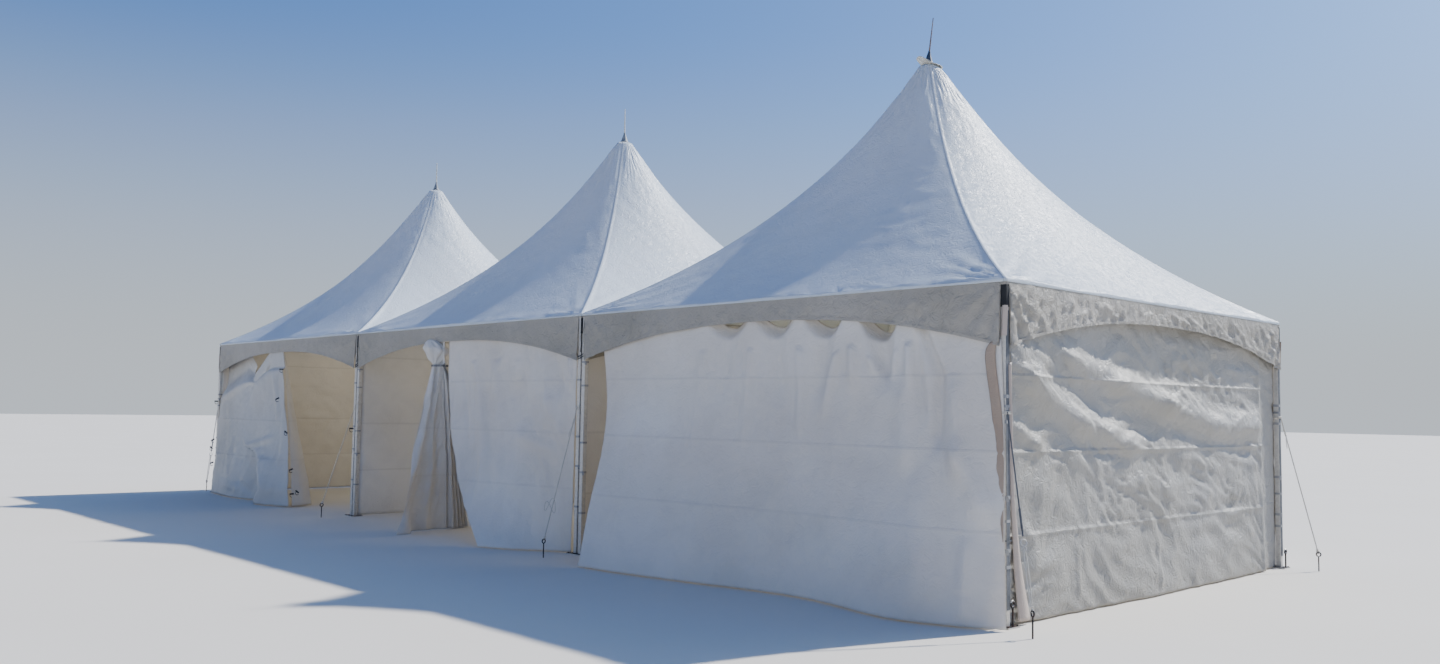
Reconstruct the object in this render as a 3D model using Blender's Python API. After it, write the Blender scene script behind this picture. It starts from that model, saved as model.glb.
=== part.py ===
# A row of three square pagoda marquee bays, joined leg to leg into one tent.
# X runs along the row, -Y is the long front with the doorways, Z is up.
# The origin is on the ground, at the middle of the middle bay.

import math

import bmesh
import bpy
from mathutils import Matrix, Vector

# Clearance between pieces that touch, metres as everywhere here
TOUCH = 0.0003

# The bays
BAY_WIDTH = 5.000          # eave to eave of one bay, both ways
BAY_GAP = 0.012            # between the eaves of neighbours
EAVE = 2.450               # top of the roof's edge
ROOF_RISE = 2.605          # from there to the top of the ring that ends the roof
RING_RADIUS = 0.100

# The roof: a straight fall and a steeper curve near the mast
ROOF_THICKNESS = 0.010
ROOF_STRAIGHT = 0.54       # share of the rise that falls evenly
ROOF_CURVE = 2.0           # power of the rest
ROOF_ROUNDING = 1.39       # how fast the round ring turns square
ROOF_BULGE = 0.065         # rise of the mid sides over the hips
ROOF_SIDES = 32
ROOF_STEPS = 8
ROOF_STEP_BIAS = 1.25      # over 1, the rows of faces lie closer near the ring

# The valance under the eave
SKIRT_THICKNESS = 0.006
SKIRT_CORNER_DEPTH = 0.475
SKIRT_MID_DEPTH = 0.190
SKIRT_ARCH = 2.3           # power of the arched lower edge
SKIRT_CORNER_GAP = 0.046   # each side of a corner
SKIRT_BAND = 0.030         # unbroken strip along the top
SKIRT_SLANT = 0.002        # run of a skirt's end edge
SKIRT_STEPS = 12

# Steelwork
BEAM_WIDTH = 0.050
BEAM_HEIGHT = 0.050
BEAM_CORNER = 0.006        # chamfer of the frame's outer corners
GUSSET = 0.110             # leg of the triangle in the frame's corners
LEG_WIDTH = 0.050
LEG_CORNER = 0.005
PLATE_WIDTH = 0.150
PLATE_THICKNESS = 0.010
PIN_RADIUS = 0.006         # foot pin by each outer corner leg
PIN_HEIGHT = 0.190
PIN_GAP = 0.035            # from the leg's face to the pin
EYE_RADIUS = 0.020         # middle of the ring on a pin or stake
EYE_STEPS = 16

# Mast and stays
HUB_DROP = 0.200           # middle of the hub under the eave
HUB_RADIUS = 0.070
HUB_DEPTH = 0.056
STAY_INSET = 0.020         # from the hub's side to the stay in it
MAST_RADIUS = 0.030
MAST_SIDES = 12
CROWN_DEPTH = 0.014
NECK_RADIUS = 0.014
CONE_TOP_RADIUS = 0.010
SPIKE_RADIUS = 0.006
SPIKE_TIP_RADIUS = 0.003
SPIKE_HEIGHT = 0.330
CAP_THICKNESS = 0.012
CAP_FLAT = 0.8             # share of the cap's radius inside its rim
CAP_CURL_WAY = (-0.69, -0.73)

# Finials: cap radius, rise of its curled rim, cone radius and height, lean of the spike
FINIALS = {
    "left": {"cap": 0.072, "curl": 0.0, "cone": 0.047, "cone_height": 0.125, "lean": (0.0, 0.0)},
    "middle": {"cap": 0.072, "curl": 0.0, "cone": 0.050, "cone_height": 0.120, "lean": (0.0, 0.0)},
    "right": {"cap": 0.108, "curl": 0.045, "cone": 0.028, "cone_height": 0.095, "lean": (0.075, 0.080)},
}

# Walls and curtains
CLOTH = 0.008
HEM = 0.012                # hem over the ground
WALL_END_GAP = 0.010       # wall's end to the leg
WALL_BELLY = 0.030         # inward, at half height
WALL_RIPPLE = 0.006
WALL_RIPPLE_TURNS = (14.0, 5.0)    # radians of ripple across and down a wall
WALL_GRID = (6, 4)         # faces across and down
END_BELLY = 0.090          # of the wind-blown end wall
END_BILLOW = 0.070         # its foot, outward
FLARE = 0.626              # furthest reach of a front curtain's foot from the wall line

# Front curtains. Each rib is (top, foot, reach, bow): top and foot are shares of the opening
# from its left leg, reach a share of FLARE, and a bow over 1 holds the edge back at first
RIGHT_RIBS = ((0.047, 0.154, 0.93, 0.7), (0.207, 0.313, 0.82, 0.9), (0.367, 0.453, 0.64, 1.0),
              (0.526, 0.579, 0.42, 1.0), (0.686, 0.712, 0.40, 1.0), (0.845, 0.866, 0.69, 1.2),
              (0.989, 1.024, 0.27, 1.6))
RIGHT_SCALLOPS = 7
RIGHT_DROOP = 0.140
SCALLOP_POWER = 1.5                # over 1, pointed between the scallops' hooks
MIDDLE_RIBS = ((0.480, 0.792, 0.82, 1.9), (0.653, 0.848, 0.62, 1.5), (0.827, 0.919, 0.31, 1.0),
               (0.995, 0.995, 0.02, 1.0))
LEFT_RIBS = ((0.005, -0.001, 0.14, 1.0), (0.134, 0.134, 0.11, 1.0), (0.257, 0.339, 0.31, 1.0),
             (0.380, 0.462, 0.13, 1.0), (0.502, 0.690, 0.27, 1.0))
LEFT_DROOP = 0.420
LEFT_DROOP_SPAN = (0.55, 0.28)     # middle and half width, as shares of the curtain
CURTAIN_FOLDS = {"right": (0.020, 7), "middle": (0.030, 4), "left": (0.050, 4)}
CURTAIN_GRIDS = {"right": (28, 7), "middle": (16, 7), "left": (16, 7)}
FOLD_FADE = 1.5                    # folds are deepest at half this share of the free height
FOOT_EASE = 1.15                   # over 1, the foot kicks out late
FLAP_TOP = (0.517, 0.527)          # the flap's crease and edge, as shares of the opening
FLAP_FOOT = (0.701, 0.638)
FLAP_REACH = (0.21, -0.365)        # at the foot, as shares of FLARE
FLAP_LIFT = 0.030
FLAP_TURN = (0.9, 0.4, 0)          # which way its thickness goes
FLAP_GRID = (6, 8)

# The curtain that is gathered into a knot
TIED_TOP = 0.426                   # share of the opening
TIED_FOOT = 0.475
TIED_BACK = 0.269                  # its back foot edge, inside the wall line
TIED_BUNCH = 0.018                 # half width above the knot
TIED_BELOW = 0.009                 # more of it right below the knot
TIED_BELOW_RATE = 10.0             # how soon that is reached
TIED_OPENING = 1.1                 # over 1, it opens late
TIED_FOLD = 0.045
TIED_FOLDS = 2.5
TIED_GRID = (12, 12)
TIED_ROW_BIAS = 1.59               # closer rows towards the top
KNOT_DROP = 0.360                  # middle of the knot under the eave
KNOT_HALF_HEIGHT = 0.150
KNOT_HALF_WIDTH = 0.080
KNOT_DEPTH = 0.150

# Guy ropes and stakes
ROPE_RADIUS = 0.006
COLLAR = 0.004
COLLAR_HEIGHT = 0.030
COLLAR_CORNER = 0.0025     # cut of its inner corners
GUY_HEIGHT = 1.500
STAKE_HEIGHT = 0.190
CORNER_STAKE_OUT = 0.350   # from the leg, along the row
CORNER_STAKE_SIDE = {"front_left": 0.030, "front_right": 0.220, "back_left": 0.050, "back_right": 0.050}
JOIN_STAKE_FRONT = 0.440
JOIN_STAKE_SIDE = 0.050

HALF = BAY_WIDTH / 2
PITCH = BAY_WIDTH + BAY_GAP
BAYS = {"left": -PITCH, "middle": 0.0, "right": PITCH}
STEEL_FACE = HALF - SKIRT_THICKNESS - TOUCH
BEAM_TOP = EAVE - ROOF_THICKNESS - TOUCH
BEAM_FOOT = BEAM_TOP - BEAM_HEIGHT
WALL_LINE = STEEL_FACE - BEAM_WIDTH / 2
WALL_TOP = BEAM_FOOT - TOUCH
LEG_CENTRE = STEEL_FACE - LEG_WIDTH / 2
WALL_HALF = STEEL_FACE - LEG_WIDTH - WALL_END_GAP
OPENING_HALF = STEEL_FACE - LEG_WIDTH
RING_HEIGHT = EAVE + ROOF_RISE
HUB_HEIGHT = EAVE - HUB_DROP
KNOT_HEIGHT = EAVE - KNOT_DROP


def material(name, colour, roughness, metallic=0.0):
    """A plain finish, made once."""
    found = bpy.data.materials.get(name)
    if found:
        return found
    made = bpy.data.materials.new(name)
    made.use_nodes = True
    shader = made.node_tree.nodes["Principled BSDF"]
    shader.inputs["Base Color"].default_value = (*colour, 1.0)
    shader.inputs["Roughness"].default_value = roughness
    shader.inputs["Metallic"].default_value = metallic
    made.diffuse_color = (*colour, 1.0)
    return made


def finish(name, bm, look, smooth=False):
    """Turn the bmesh into a named object."""
    bmesh.ops.recalc_face_normals(bm, faces=bm.faces)
    mesh = bpy.data.meshes.new(name)
    bm.to_mesh(mesh)
    bm.free()
    mesh.materials.append(look)
    if smooth:
        mesh.shade_smooth()
        mesh.set_sharp_from_angle(angle=math.radians(40))
    body = bpy.data.objects.new(name, mesh)
    bpy.context.collection.objects.link(body)
    return body


def union(body, helper):
    """Weld a helper shape to a body, and leave the helper out of the model."""
    helper.hide_render = True
    helper.display_type = "WIRE"
    weld = body.modifiers.new("weld_" + helper.name, "BOOLEAN")
    weld.operation = "UNION"
    weld.solver = "EXACT"
    weld.object = helper


def thicken(bm, faces, push):
    """Close an open sheet into a slab by pushing a copy of it."""
    made = bmesh.ops.extrude_face_region(bm, geom=faces, use_keep_orig=True)
    for item in made["geom"]:
        if isinstance(item, bmesh.types.BMVert):
            item.co += push(item.co)


def panel(name, columns, rows, place, push, look):
    """A cloth panel: place(u, v) runs across and down, push(point) is its thickness."""
    bm = bmesh.new()
    bmesh.ops.create_grid(bm, x_segments=columns, y_segments=rows, size=0.5)
    for vert in bm.verts:
        vert.co = Vector(place(vert.co.x + 0.5, 0.5 - vert.co.y))
    thicken(bm, bm.faces[:], push)
    return finish(name, bm, look, smooth=True)


def block(name, low, high, look, bevel=0.0):
    """A box between two corners, with its upright edges bevelled."""
    low, high = Vector(low), Vector(high)
    bm = bmesh.new()
    place = Matrix.Translation((low + high) / 2) @ Matrix.Diagonal((*(high - low), 1.0))
    bmesh.ops.create_cube(bm, size=1.0, matrix=place)
    if bevel:
        upright = [e for e in bm.edges if abs(e.verts[0].co.z - e.verts[1].co.z) > TOUCH]
        bmesh.ops.bevel(bm, geom=upright, offset=bevel, segments=2, profile=0.5,
                        affect="EDGES", clamp_overlap=True)
    return finish(name, bm, look)


def square_loop(bm, half, corner, z, middle):
    """Eight points of a square with cut corners."""
    points = []
    for turn in range(4):
        spin = Matrix.Rotation(turn * math.pi / 2, 4, "Z")
        for point in ((half, half - corner, 0), (half - corner, half, 0)):
            points.append(bm.verts.new(spin @ Vector(point) + Vector((*middle, z))))
    return points


def square_ring(name, outer, inner, heights, middle, look):
    """A square frame; outer and inner are (half width, corner cut)."""
    bm = bmesh.new()
    loops = [square_loop(bm, *outer, heights[0], middle),
             square_loop(bm, *outer, heights[1], middle),
             square_loop(bm, *inner, heights[1], middle),
             square_loop(bm, *inner, heights[0], middle)]
    for near, far in zip(loops, loops[1:] + loops[:1]):
        for index in range(8):
            after = (index + 1) % 8
            bm.faces.new((near[index], near[after], far[after], far[index]))
    return finish(name, bm, look)


def turned(name, profile, middle, look, closed=False, steps=16, shift=None):
    """Spin a (radius, height) profile about an upright line."""
    bm = bmesh.new()
    verts = [bm.verts.new((radius, 0, height)) for radius, height in profile]
    edges = [bm.edges.new(pair) for pair in zip(verts, verts[1:])]
    if closed:
        edges.append(bm.edges.new((verts[-1], verts[0])))
    bmesh.ops.spin(bm, geom=verts + edges, cent=(0, 0, 0), axis=(0, 0, 1),
                   angle=2 * math.pi, steps=steps, use_merge=True)
    bmesh.ops.remove_doubles(bm, verts=bm.verts, dist=0.00005)
    for vert in bm.verts:
        if shift:
            vert.co += shift(vert.co)
        vert.co += Vector((*middle, 0))
    return finish(name, bm, look, smooth=True)


def tube(name, points, radius, look, across=None, sides=6):
    """A round bar along the points, with filled ends and a corner of its section at across."""
    points = [Vector(point) for point in points]
    bm = bmesh.new()
    loops = []
    for index, point in enumerate(points):
        before = points[max(index - 1, 0)]
        after = points[min(index + 1, len(points) - 1)]
        way = (after - before).normalized()
        if across is None:
            across = way.orthogonal()
        across = (across - way * across.dot(way)).normalized()
        other = way.cross(across)
        ring = []
        for side in range(sides):
            angle = 2 * math.pi * side / sides
            ring.append(bm.verts.new(point + radius * (across * math.cos(angle) + other * math.sin(angle))))
        loops.append(ring)
    for near, far in zip(loops, loops[1:]):
        for side in range(sides):
            after = (side + 1) % sides
            bm.faces.new((near[side], near[after], far[after], far[side]))
    bm.faces.new(loops[0])
    bm.faces.new(loops[-1])
    return finish(name, bm, look, smooth=True)


def eye_pin(foot, height, towards):
    """Points of an upright bar whose top is bent into a ring that faces along towards."""
    along = Vector((*towards, 0)).normalized()
    centre = Vector(foot) + Vector((0, 0, height - EYE_RADIUS - PIN_RADIUS))
    start = -math.pi / 2
    points = [Vector(foot)]
    for step in range(EYE_STEPS):
        angle = start + 2 * math.pi * step / EYE_STEPS
        points.append(centre + EYE_RADIUS * (along * math.cos(angle) + Vector((0, 0, math.sin(angle)))))
    return points, centre, along


def roof_rise(s, hipness):
    """Height of the roof at s, from 0 at the ring to 1 at the eave."""
    fall = ROOF_STRAIGHT * (1 - s) + (1 - ROOF_STRAIGHT) * (1 - s) ** ROOF_CURVE
    bulge = ROOF_BULGE * (1 - hipness) * 4 * s * (1 - s)
    return EAVE + (RING_HEIGHT - EAVE) * fall + bulge


def roof_point(s, angle):
    """A point on top of a roof whose mast stands at the origin."""
    wide, narrow = sorted((abs(math.cos(angle)), abs(math.sin(angle))), reverse=True)
    reach = RING_RADIUS + (HALF - RING_RADIUS) * s
    rounding = (1 - s) ** ROOF_ROUNDING
    radius = reach * ((1 - rounding) / wide + rounding)
    height = roof_rise(s, (narrow / wide) ** 2)
    return Vector((radius * math.cos(angle), radius * math.sin(angle), height))


def make_roof(bay, x, look):
    """The coated roof of one bay, drawn up to its ring in one curved sheet."""
    bm = bmesh.new()
    loops = []
    for step in range(ROOF_STEPS + 1):
        s = (step / ROOF_STEPS) ** ROOF_STEP_BIAS
        ring = [roof_point(s, 2 * math.pi * side / ROOF_SIDES) for side in range(ROOF_SIDES)]
        loops.append([bm.verts.new(point + Vector((x, 0, 0))) for point in ring])
    for near, far in zip(loops, loops[1:]):
        for side in range(ROOF_SIDES):
            after = (side + 1) % ROOF_SIDES
            bm.faces.new((near[side], near[after], far[after], far[side]))
    thicken(bm, bm.faces[:], lambda point: Vector((0, 0, -ROOF_THICKNESS)))
    return finish("roof_" + bay, bm, look, smooth=True)


def skirt_foot(along):
    """Lower edge of a valance at a distance from the middle of its side."""
    arch = abs(along / (HALF - SKIRT_CORNER_GAP)) ** SKIRT_ARCH
    return EAVE - SKIRT_MID_DEPTH - (SKIRT_CORNER_DEPTH - SKIRT_MID_DEPTH) * min(arch, 1.0)


def make_valance(bay, x, look):
    """Four arched skirts on one band under the roof's edge."""
    top = EAVE - ROOF_THICKNESS - TOUCH
    band_foot = top - SKIRT_BAND
    edge = HALF - SKIRT_CORNER_GAP
    stations = [(-HALF, band_foot), (-edge - SKIRT_SLANT, band_foot)]
    for step in range(SKIRT_STEPS + 1):
        along = edge * (2 * step / SKIRT_STEPS - 1)
        stations.append((along, skirt_foot(along)))
    stations.append((edge + SKIRT_SLANT, band_foot))
    bm = bmesh.new()
    loop = []
    for turn in range(4):
        spin = Matrix.Rotation(turn * math.pi / 2, 4, "Z")
        for index, (along, foot) in enumerate(stations):
            inset = SKIRT_THICKNESS if index == 0 else 0.0
            section = ((along, -HALF, top), (along, -HALF, foot),
                       (along + inset, -HALF + SKIRT_THICKNESS, foot),
                       (along + inset, -HALF + SKIRT_THICKNESS, top))
            loop.append([bm.verts.new(spin @ Vector(p) + Vector((x, 0, 0))) for p in section])
    for near, far in zip(loop, loop[1:] + loop[:1]):
        for index in range(4):
            after = (index + 1) % 4
            bm.faces.new((near[index], near[after], far[after], far[index]))
    return finish("valance_" + bay, bm, look)


def make_leg(bay, x, side_x, side_y, look):
    """One square leg on its base plate; an outer corner leg has its foot pin too."""
    cx = x + side_x * LEG_CENTRE
    cy = side_y * LEG_CENTRE
    name = f"leg_{bay}_{'front' if side_y < 0 else 'back'}_{'left' if side_x < 0 else 'right'}"
    half = LEG_WIDTH / 2
    leg = block(name, (cx - half, cy - half, PLATE_THICKNESS / 2),
                (cx + half, cy + half, BEAM_FOOT - TOUCH), look, bevel=LEG_CORNER)
    limit = HALF + BAY_GAP / 2 - TOUCH / 2
    outer = (bay == "left" and side_x < 0) or (bay == "right" and side_x > 0)
    reach = PLATE_WIDTH / 2 if outer else limit - LEG_CENTRE
    lows, highs = sorted((cx + side_x * reach, cx - side_x * PLATE_WIDTH / 2))
    plate = block(name + "_plate", (lows, cy - PLATE_WIDTH / 2, 0),
                  (highs, cy + PLATE_WIDTH / 2, PLATE_THICKNESS), look)
    union(leg, plate)
    if outer:
        spot = (cx + side_x * (half + PIN_GAP), cy, PLATE_THICKNESS / 2)
        points, _, along = eye_pin(spot, PIN_HEIGHT, (0, side_y))
        pin = tube(name + "_pin", points, PIN_RADIUS, look, along)
        union(leg, pin)
    return leg


def make_stays(bay, x, look):
    """The hub under the mast and the four stays that hold it to the frame's corners."""
    bm = bmesh.new()
    turn = Matrix.Rotation(math.pi / 8, 4, "Z")
    bmesh.ops.create_cone(bm, cap_ends=True, segments=8, radius1=HUB_RADIUS, radius2=HUB_RADIUS,
                          depth=HUB_DEPTH, matrix=turn)
    corner = STEEL_FACE - BEAM_WIDTH - GUSSET / 2 - TOUCH / math.sqrt(2)
    sides = [f for f in bm.faces if abs(abs(f.normal.x) - abs(f.normal.y)) < 0.01 and abs(f.normal.z) < 0.5]
    bmesh.ops.inset_individual(bm, faces=sides, thickness=STAY_INSET, use_even_offset=True)
    for face in sides:
        outward = face.normal.copy()
        centre = face.calc_center_median()
        target = Vector((math.copysign(corner, outward.x), math.copysign(corner, outward.y),
                         BEAM_TOP - BEAM_HEIGHT / 2 - HUB_HEIGHT))
        made = bmesh.ops.extrude_discrete_faces(bm, faces=[face])
        bmesh.ops.translate(bm, verts=made["faces"][0].verts, vec=target - centre)
    bmesh.ops.translate(bm, verts=bm.verts, vec=(x, 0, HUB_HEIGHT))
    return finish("stays_" + bay, bm, look)


def make_mast(bay, x, look):
    """The mast, its crown in the roof's ring, and the cone and spike above the cap."""
    finial = FINIALS[bay]
    foot = HUB_HEIGHT + HUB_DEPTH / 2 + TOUCH
    crown = RING_RADIUS * math.cos(math.pi / ROOF_SIDES) - TOUCH
    cap_top = RING_HEIGHT + CAP_THICKNESS + 2 * TOUCH
    cone_top = cap_top + finial["cone_height"]
    tip = cone_top + SPIKE_HEIGHT
    profile = [(0, foot), (MAST_RADIUS, foot), (MAST_RADIUS, RING_HEIGHT - CROWN_DEPTH),
               (crown, RING_HEIGHT - CROWN_DEPTH), (crown, RING_HEIGHT), (NECK_RADIUS, RING_HEIGHT),
               (NECK_RADIUS, cap_top), (finial["cone"], cap_top), (CONE_TOP_RADIUS, cone_top),
               (SPIKE_RADIUS, cone_top), (SPIKE_TIP_RADIUS, tip), (0, tip)]

    def bend(point):
        over = max(0.0, point.z - cone_top)
        return Vector((*finial["lean"], 0)) * over

    return turned("mast_" + bay, profile, (x, 0), look, steps=MAST_SIDES, shift=bend)


def make_cap(bay, x, look):
    """The disc that closes the ring; one side of its rim may be curled up."""
    radius, curl = FINIALS[bay]["cap"], FINIALS[bay]["curl"]
    foot = RING_HEIGHT + TOUCH
    hole = NECK_RADIUS + TOUCH
    flat = radius * CAP_FLAT
    profile = [(hole, foot), (flat, foot), (radius, foot + CAP_THICKNESS / 2),
               (radius, foot + CAP_THICKNESS), (flat, foot + CAP_THICKNESS), (hole, foot + CAP_THICKNESS)]
    way = Vector((*CAP_CURL_WAY, 0)).normalized()

    def curled(point):
        across = math.hypot(point.x, point.y)
        if across <= flat + TOUCH:
            return Vector((0, 0, 0))
        facing = max(0.0, (point.x * way.x + point.y * way.y) / across)
        return Vector((0, 0, curl * facing))

    return turned("cap_" + bay, profile, (x, 0), look, closed=True, shift=curled)


def blend(points, t):
    """Smooth value through evenly spaced points, t from 0 to 1."""
    span = len(points) - 1
    index = min(int(t * span), span - 1)
    f = t * span - index
    before = points[max(index - 1, 0)]
    a, b = points[index], points[index + 1]
    after = points[min(index + 2, span)]
    return (a + 0.5 * f * (b - before + f * (2 * before - 5 * a + 4 * b - after
            + f * (3 * (a - b) + after - before))))


def flat_wall(name, start, end, look, inward, belly=WALL_BELLY, billow=0.0):
    """A wall hung between two points of the frame, bellied inward, its foot blown outward."""
    start, end = Vector((*start, 0)), Vector((*end, 0))
    inward = Vector((*inward, 0))
    across_turn, down_turn = WALL_RIPPLE_TURNS

    def place(u, v):
        top = start.lerp(end, u)
        slack = belly * math.sin(math.pi * u) * math.sin(math.pi * math.sqrt(v))
        blown = billow * math.sin(math.pi * u) * v ** 2
        ripple = WALL_RIPPLE * math.sin(across_turn * u + down_turn * v) * math.sin(math.pi * v)
        shift = inward * (slack - blown + ripple)
        return (top.x + shift.x, top.y + shift.y, WALL_TOP + (HEM - WALL_TOP) * v)

    return panel(name, *WALL_GRID, place, lambda point: inward * CLOTH, look)


def across(bay, share):
    """Place along the row at a share of a bay's opening, from its left leg."""
    return BAYS[bay] + (2 * share - 1) * OPENING_HALF


def front_curtain(bay, ribs, look, droop=None):
    """A front curtain hung from ribs; droop(u) lowers its top."""
    line = -WALL_LINE - CLOTH / 2
    below = (WALL_TOP - EAVE + SKIRT_CORNER_DEPTH) / WALL_TOP
    folds, count = CURTAIN_FOLDS[bay]
    tops, feet, reaches, bows = zip(*ribs)

    def place(u, v):
        top = WALL_TOP - (droop(u) if droop else 0.0)
        free = max(0.0, (v - below) / (1 - below))
        start = across(bay, blend(tops, u))
        x = start + (across(bay, blend(feet, u)) - start) * v ** blend(bows, u)
        wave = folds * math.sin(2 * math.pi * count * u) * free * (FOLD_FADE - free)
        y = line - blend(reaches, u) * FLARE * free ** FOOT_EASE + wave
        return (x, y, top + (HEM - top) * v)

    return panel("front_curtain_" + bay, *CURTAIN_GRIDS[bay], place, lambda point: Vector((0, CLOTH, 0)), look)


def front_flap(look):
    """The free edge of the left curtain, turned back on itself."""

    def place(u, v):
        z = WALL_TOP + (FLAP_LIFT - WALL_TOP) * v
        sides = [Vector((across("left", top + (foot - top) * v), -WALL_LINE - FLARE * reach, z))
                 for top, foot, reach in ((FLAP_TOP[0], FLAP_FOOT[0], FLAP_REACH[0] * v),
                                          (FLAP_TOP[1], FLAP_FOOT[1], FLAP_REACH[1]))]
        return sides[0].lerp(sides[1], u)

    return panel("front_flap_left", *FLAP_GRID, place, lambda point: Vector(FLAP_TURN) * CLOTH, look)


def knot_share(z):
    """How far the knot stands out at a height, 0 to 1."""
    return math.sqrt(max(0.0, 1 - abs(z - KNOT_HEIGHT) / KNOT_HALF_HEIGHT))


def tied_curtain(look):
    """The curtain that is gathered, knotted up by its head and open again at its foot."""
    neck = KNOT_HEIGHT - KNOT_HALF_HEIGHT

    def place(u, v):
        z = WALL_TOP + (HEM - WALL_TOP) * v ** TIED_ROW_BIAS
        opened = (max(0.0, neck - z) / (neck - HEM)) ** TIED_OPENING
        bunch = TIED_BUNCH + KNOT_HALF_WIDTH * knot_share(z) + TIED_BELOW * min(opened * TIED_BELOW_RATE, 1.0)
        front = -WALL_LINE - bunch * (1 - opened) - FLARE * opened
        back = -WALL_LINE + bunch * (1 - opened) + TIED_BACK * opened
        sway = across("middle", TIED_TOP + (TIED_FOOT - TIED_TOP) * (1 - z / WALL_TOP))
        fold = TIED_FOLD * math.sin(2 * math.pi * TIED_FOLDS * u) * opened
        return (sway + fold, front + (back - front) * u, z)

    return panel("front_tied_curtain_middle", *TIED_GRID, place,
                 lambda point: Vector((CLOTH + KNOT_DEPTH * knot_share(point.z), 0, 0)), look)


def make_guy(place, leg_middle, spot, looks):
    """A taut guy rope tied round its leg, and the ring stake that it runs to."""
    rope_look, stake_look = looks
    legs = Vector((*leg_middle, GUY_HEIGHT))
    away = (Vector(spot) - Vector(leg_middle)).normalized()
    stake_points, eye, along = eye_pin((*spot, 0), STAKE_HEIGHT, (-away.x, -away.y))
    tube("stake_" + place, stake_points, PIN_RADIUS, stake_look, along)
    half = LEG_WIDTH / 2 + TOUCH
    collar = square_ring("guy_" + place, (half + COLLAR, LEG_CORNER), (half, COLLAR_CORNER),
                         (GUY_HEIGHT - COLLAR_HEIGHT / 2, GUY_HEIGHT + COLLAR_HEIGHT / 2),
                         leg_middle, rope_look)
    reach = (half + ROPE_RADIUS) / max(abs(away.x), abs(away.y))
    start = legs + Vector((*away, 0)) * reach
    way = (eye - start).normalized()
    stop = eye - way * (EYE_RADIUS + PIN_RADIUS + TOUCH)
    rope = tube("guy_" + place + "_rope", [start, stop], ROPE_RADIUS, rope_look)
    union(collar, rope)


def clear_scene():
    """Start from an empty file."""
    for old in list(bpy.data.objects):
        bpy.data.objects.remove(old, do_unlink=True)


def build():
    """Make the whole tent."""
    roof_look = material("roof_pvc", (0.78, 0.80, 0.83), 0.45)
    skirt_look = material("valance_pvc", (0.62, 0.63, 0.61), 0.5)
    wall_look = material("wall_pvc", (0.74, 0.75, 0.76), 0.5)
    inner_look = material("inner_wall_pvc", (0.66, 0.60, 0.50), 0.55)
    steel = material("galvanised_steel", (0.50, 0.51, 0.52), 0.4, 0.9)
    dark_steel = material("dark_steel", (0.05, 0.05, 0.06), 0.5, 0.8)
    cap_look = material("cap_plastic", (0.75, 0.74, 0.70), 0.5)
    rope_look = material("guy_rope", (0.55, 0.55, 0.52), 0.8)

    for bay, x in BAYS.items():
        make_roof(bay, x, roof_look)
        make_valance(bay, x, skirt_look)
        square_ring("eave_frame_" + bay, (STEEL_FACE, BEAM_CORNER),
                    (STEEL_FACE - BEAM_WIDTH, GUSSET), (BEAM_FOOT, BEAM_TOP), (x, 0), steel)
        for side_x in (-1, 1):
            for side_y in (-1, 1):
                make_leg(bay, x, side_x, side_y, steel)
        make_stays(bay, x, steel)
        make_mast(bay, x, steel)
        make_cap(bay, x, cap_look)
        flat_wall("back_wall_" + bay, (x - WALL_HALF, WALL_LINE), (x + WALL_HALF, WALL_LINE),
                  wall_look, (0, -1))

    end = PITCH + WALL_LINE
    flat_wall("end_wall_right", (end, -WALL_HALF), (end, WALL_HALF), wall_look, (-1, 0),
              belly=END_BELLY, billow=END_BILLOW)
    flat_wall("end_wall_left", (-end, -WALL_HALF), (-end, WALL_HALF), wall_look, (1, 0))
    flat_wall("partition_right", (WALL_LINE, -WALL_HALF), (WALL_LINE, WALL_HALF), inner_look, (-1, 0))
    flat_wall("partition_left", (-WALL_LINE, -WALL_HALF), (-WALL_LINE, WALL_HALF), inner_look, (1, 0))

    middle, half_width = LEFT_DROOP_SPAN
    front_curtain("right", RIGHT_RIBS, wall_look,
                  droop=lambda u: RIGHT_DROOP * abs(math.sin(RIGHT_SCALLOPS * math.pi * u)) ** SCALLOP_POWER)
    front_curtain("middle", MIDDLE_RIBS, wall_look)
    front_curtain("left", LEFT_RIBS, wall_look,
                  droop=lambda u: LEFT_DROOP * max(0.0, 1 - abs(u - middle) / half_width))
    front_flap(wall_look)
    tied_curtain(wall_look)

    ropes = (rope_look, dark_steel)
    for side_x, end_word in ((-1, "left"), (1, "right")):
        bay_x = side_x * PITCH
        for side_y, word in ((-1, "front"), (1, "back")):
            corner = (bay_x + side_x * LEG_CENTRE, side_y * LEG_CENTRE)
            side = CORNER_STAKE_SIDE[f"{word}_{end_word}"]
            make_guy(f"{word}_{end_word}_corner", corner,
                     (corner[0] + side_x * CORNER_STAKE_OUT, corner[1] + side_y * side), ropes)
            join = (side_x * LEG_CENTRE, side_y * LEG_CENTRE)
            reach = JOIN_STAKE_FRONT if side_y < 0 else FLARE - EYE_RADIUS - PIN_RADIUS
            make_guy(f"{word}_{end_word}_join", join,
                     (join[0] + side_x * JOIN_STAKE_SIDE, join[1] + side_y * reach), ropes)


clear_scene()
build()
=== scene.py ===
import math

import bmesh
import bpy
from mathutils import Matrix, Vector, noise


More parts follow.
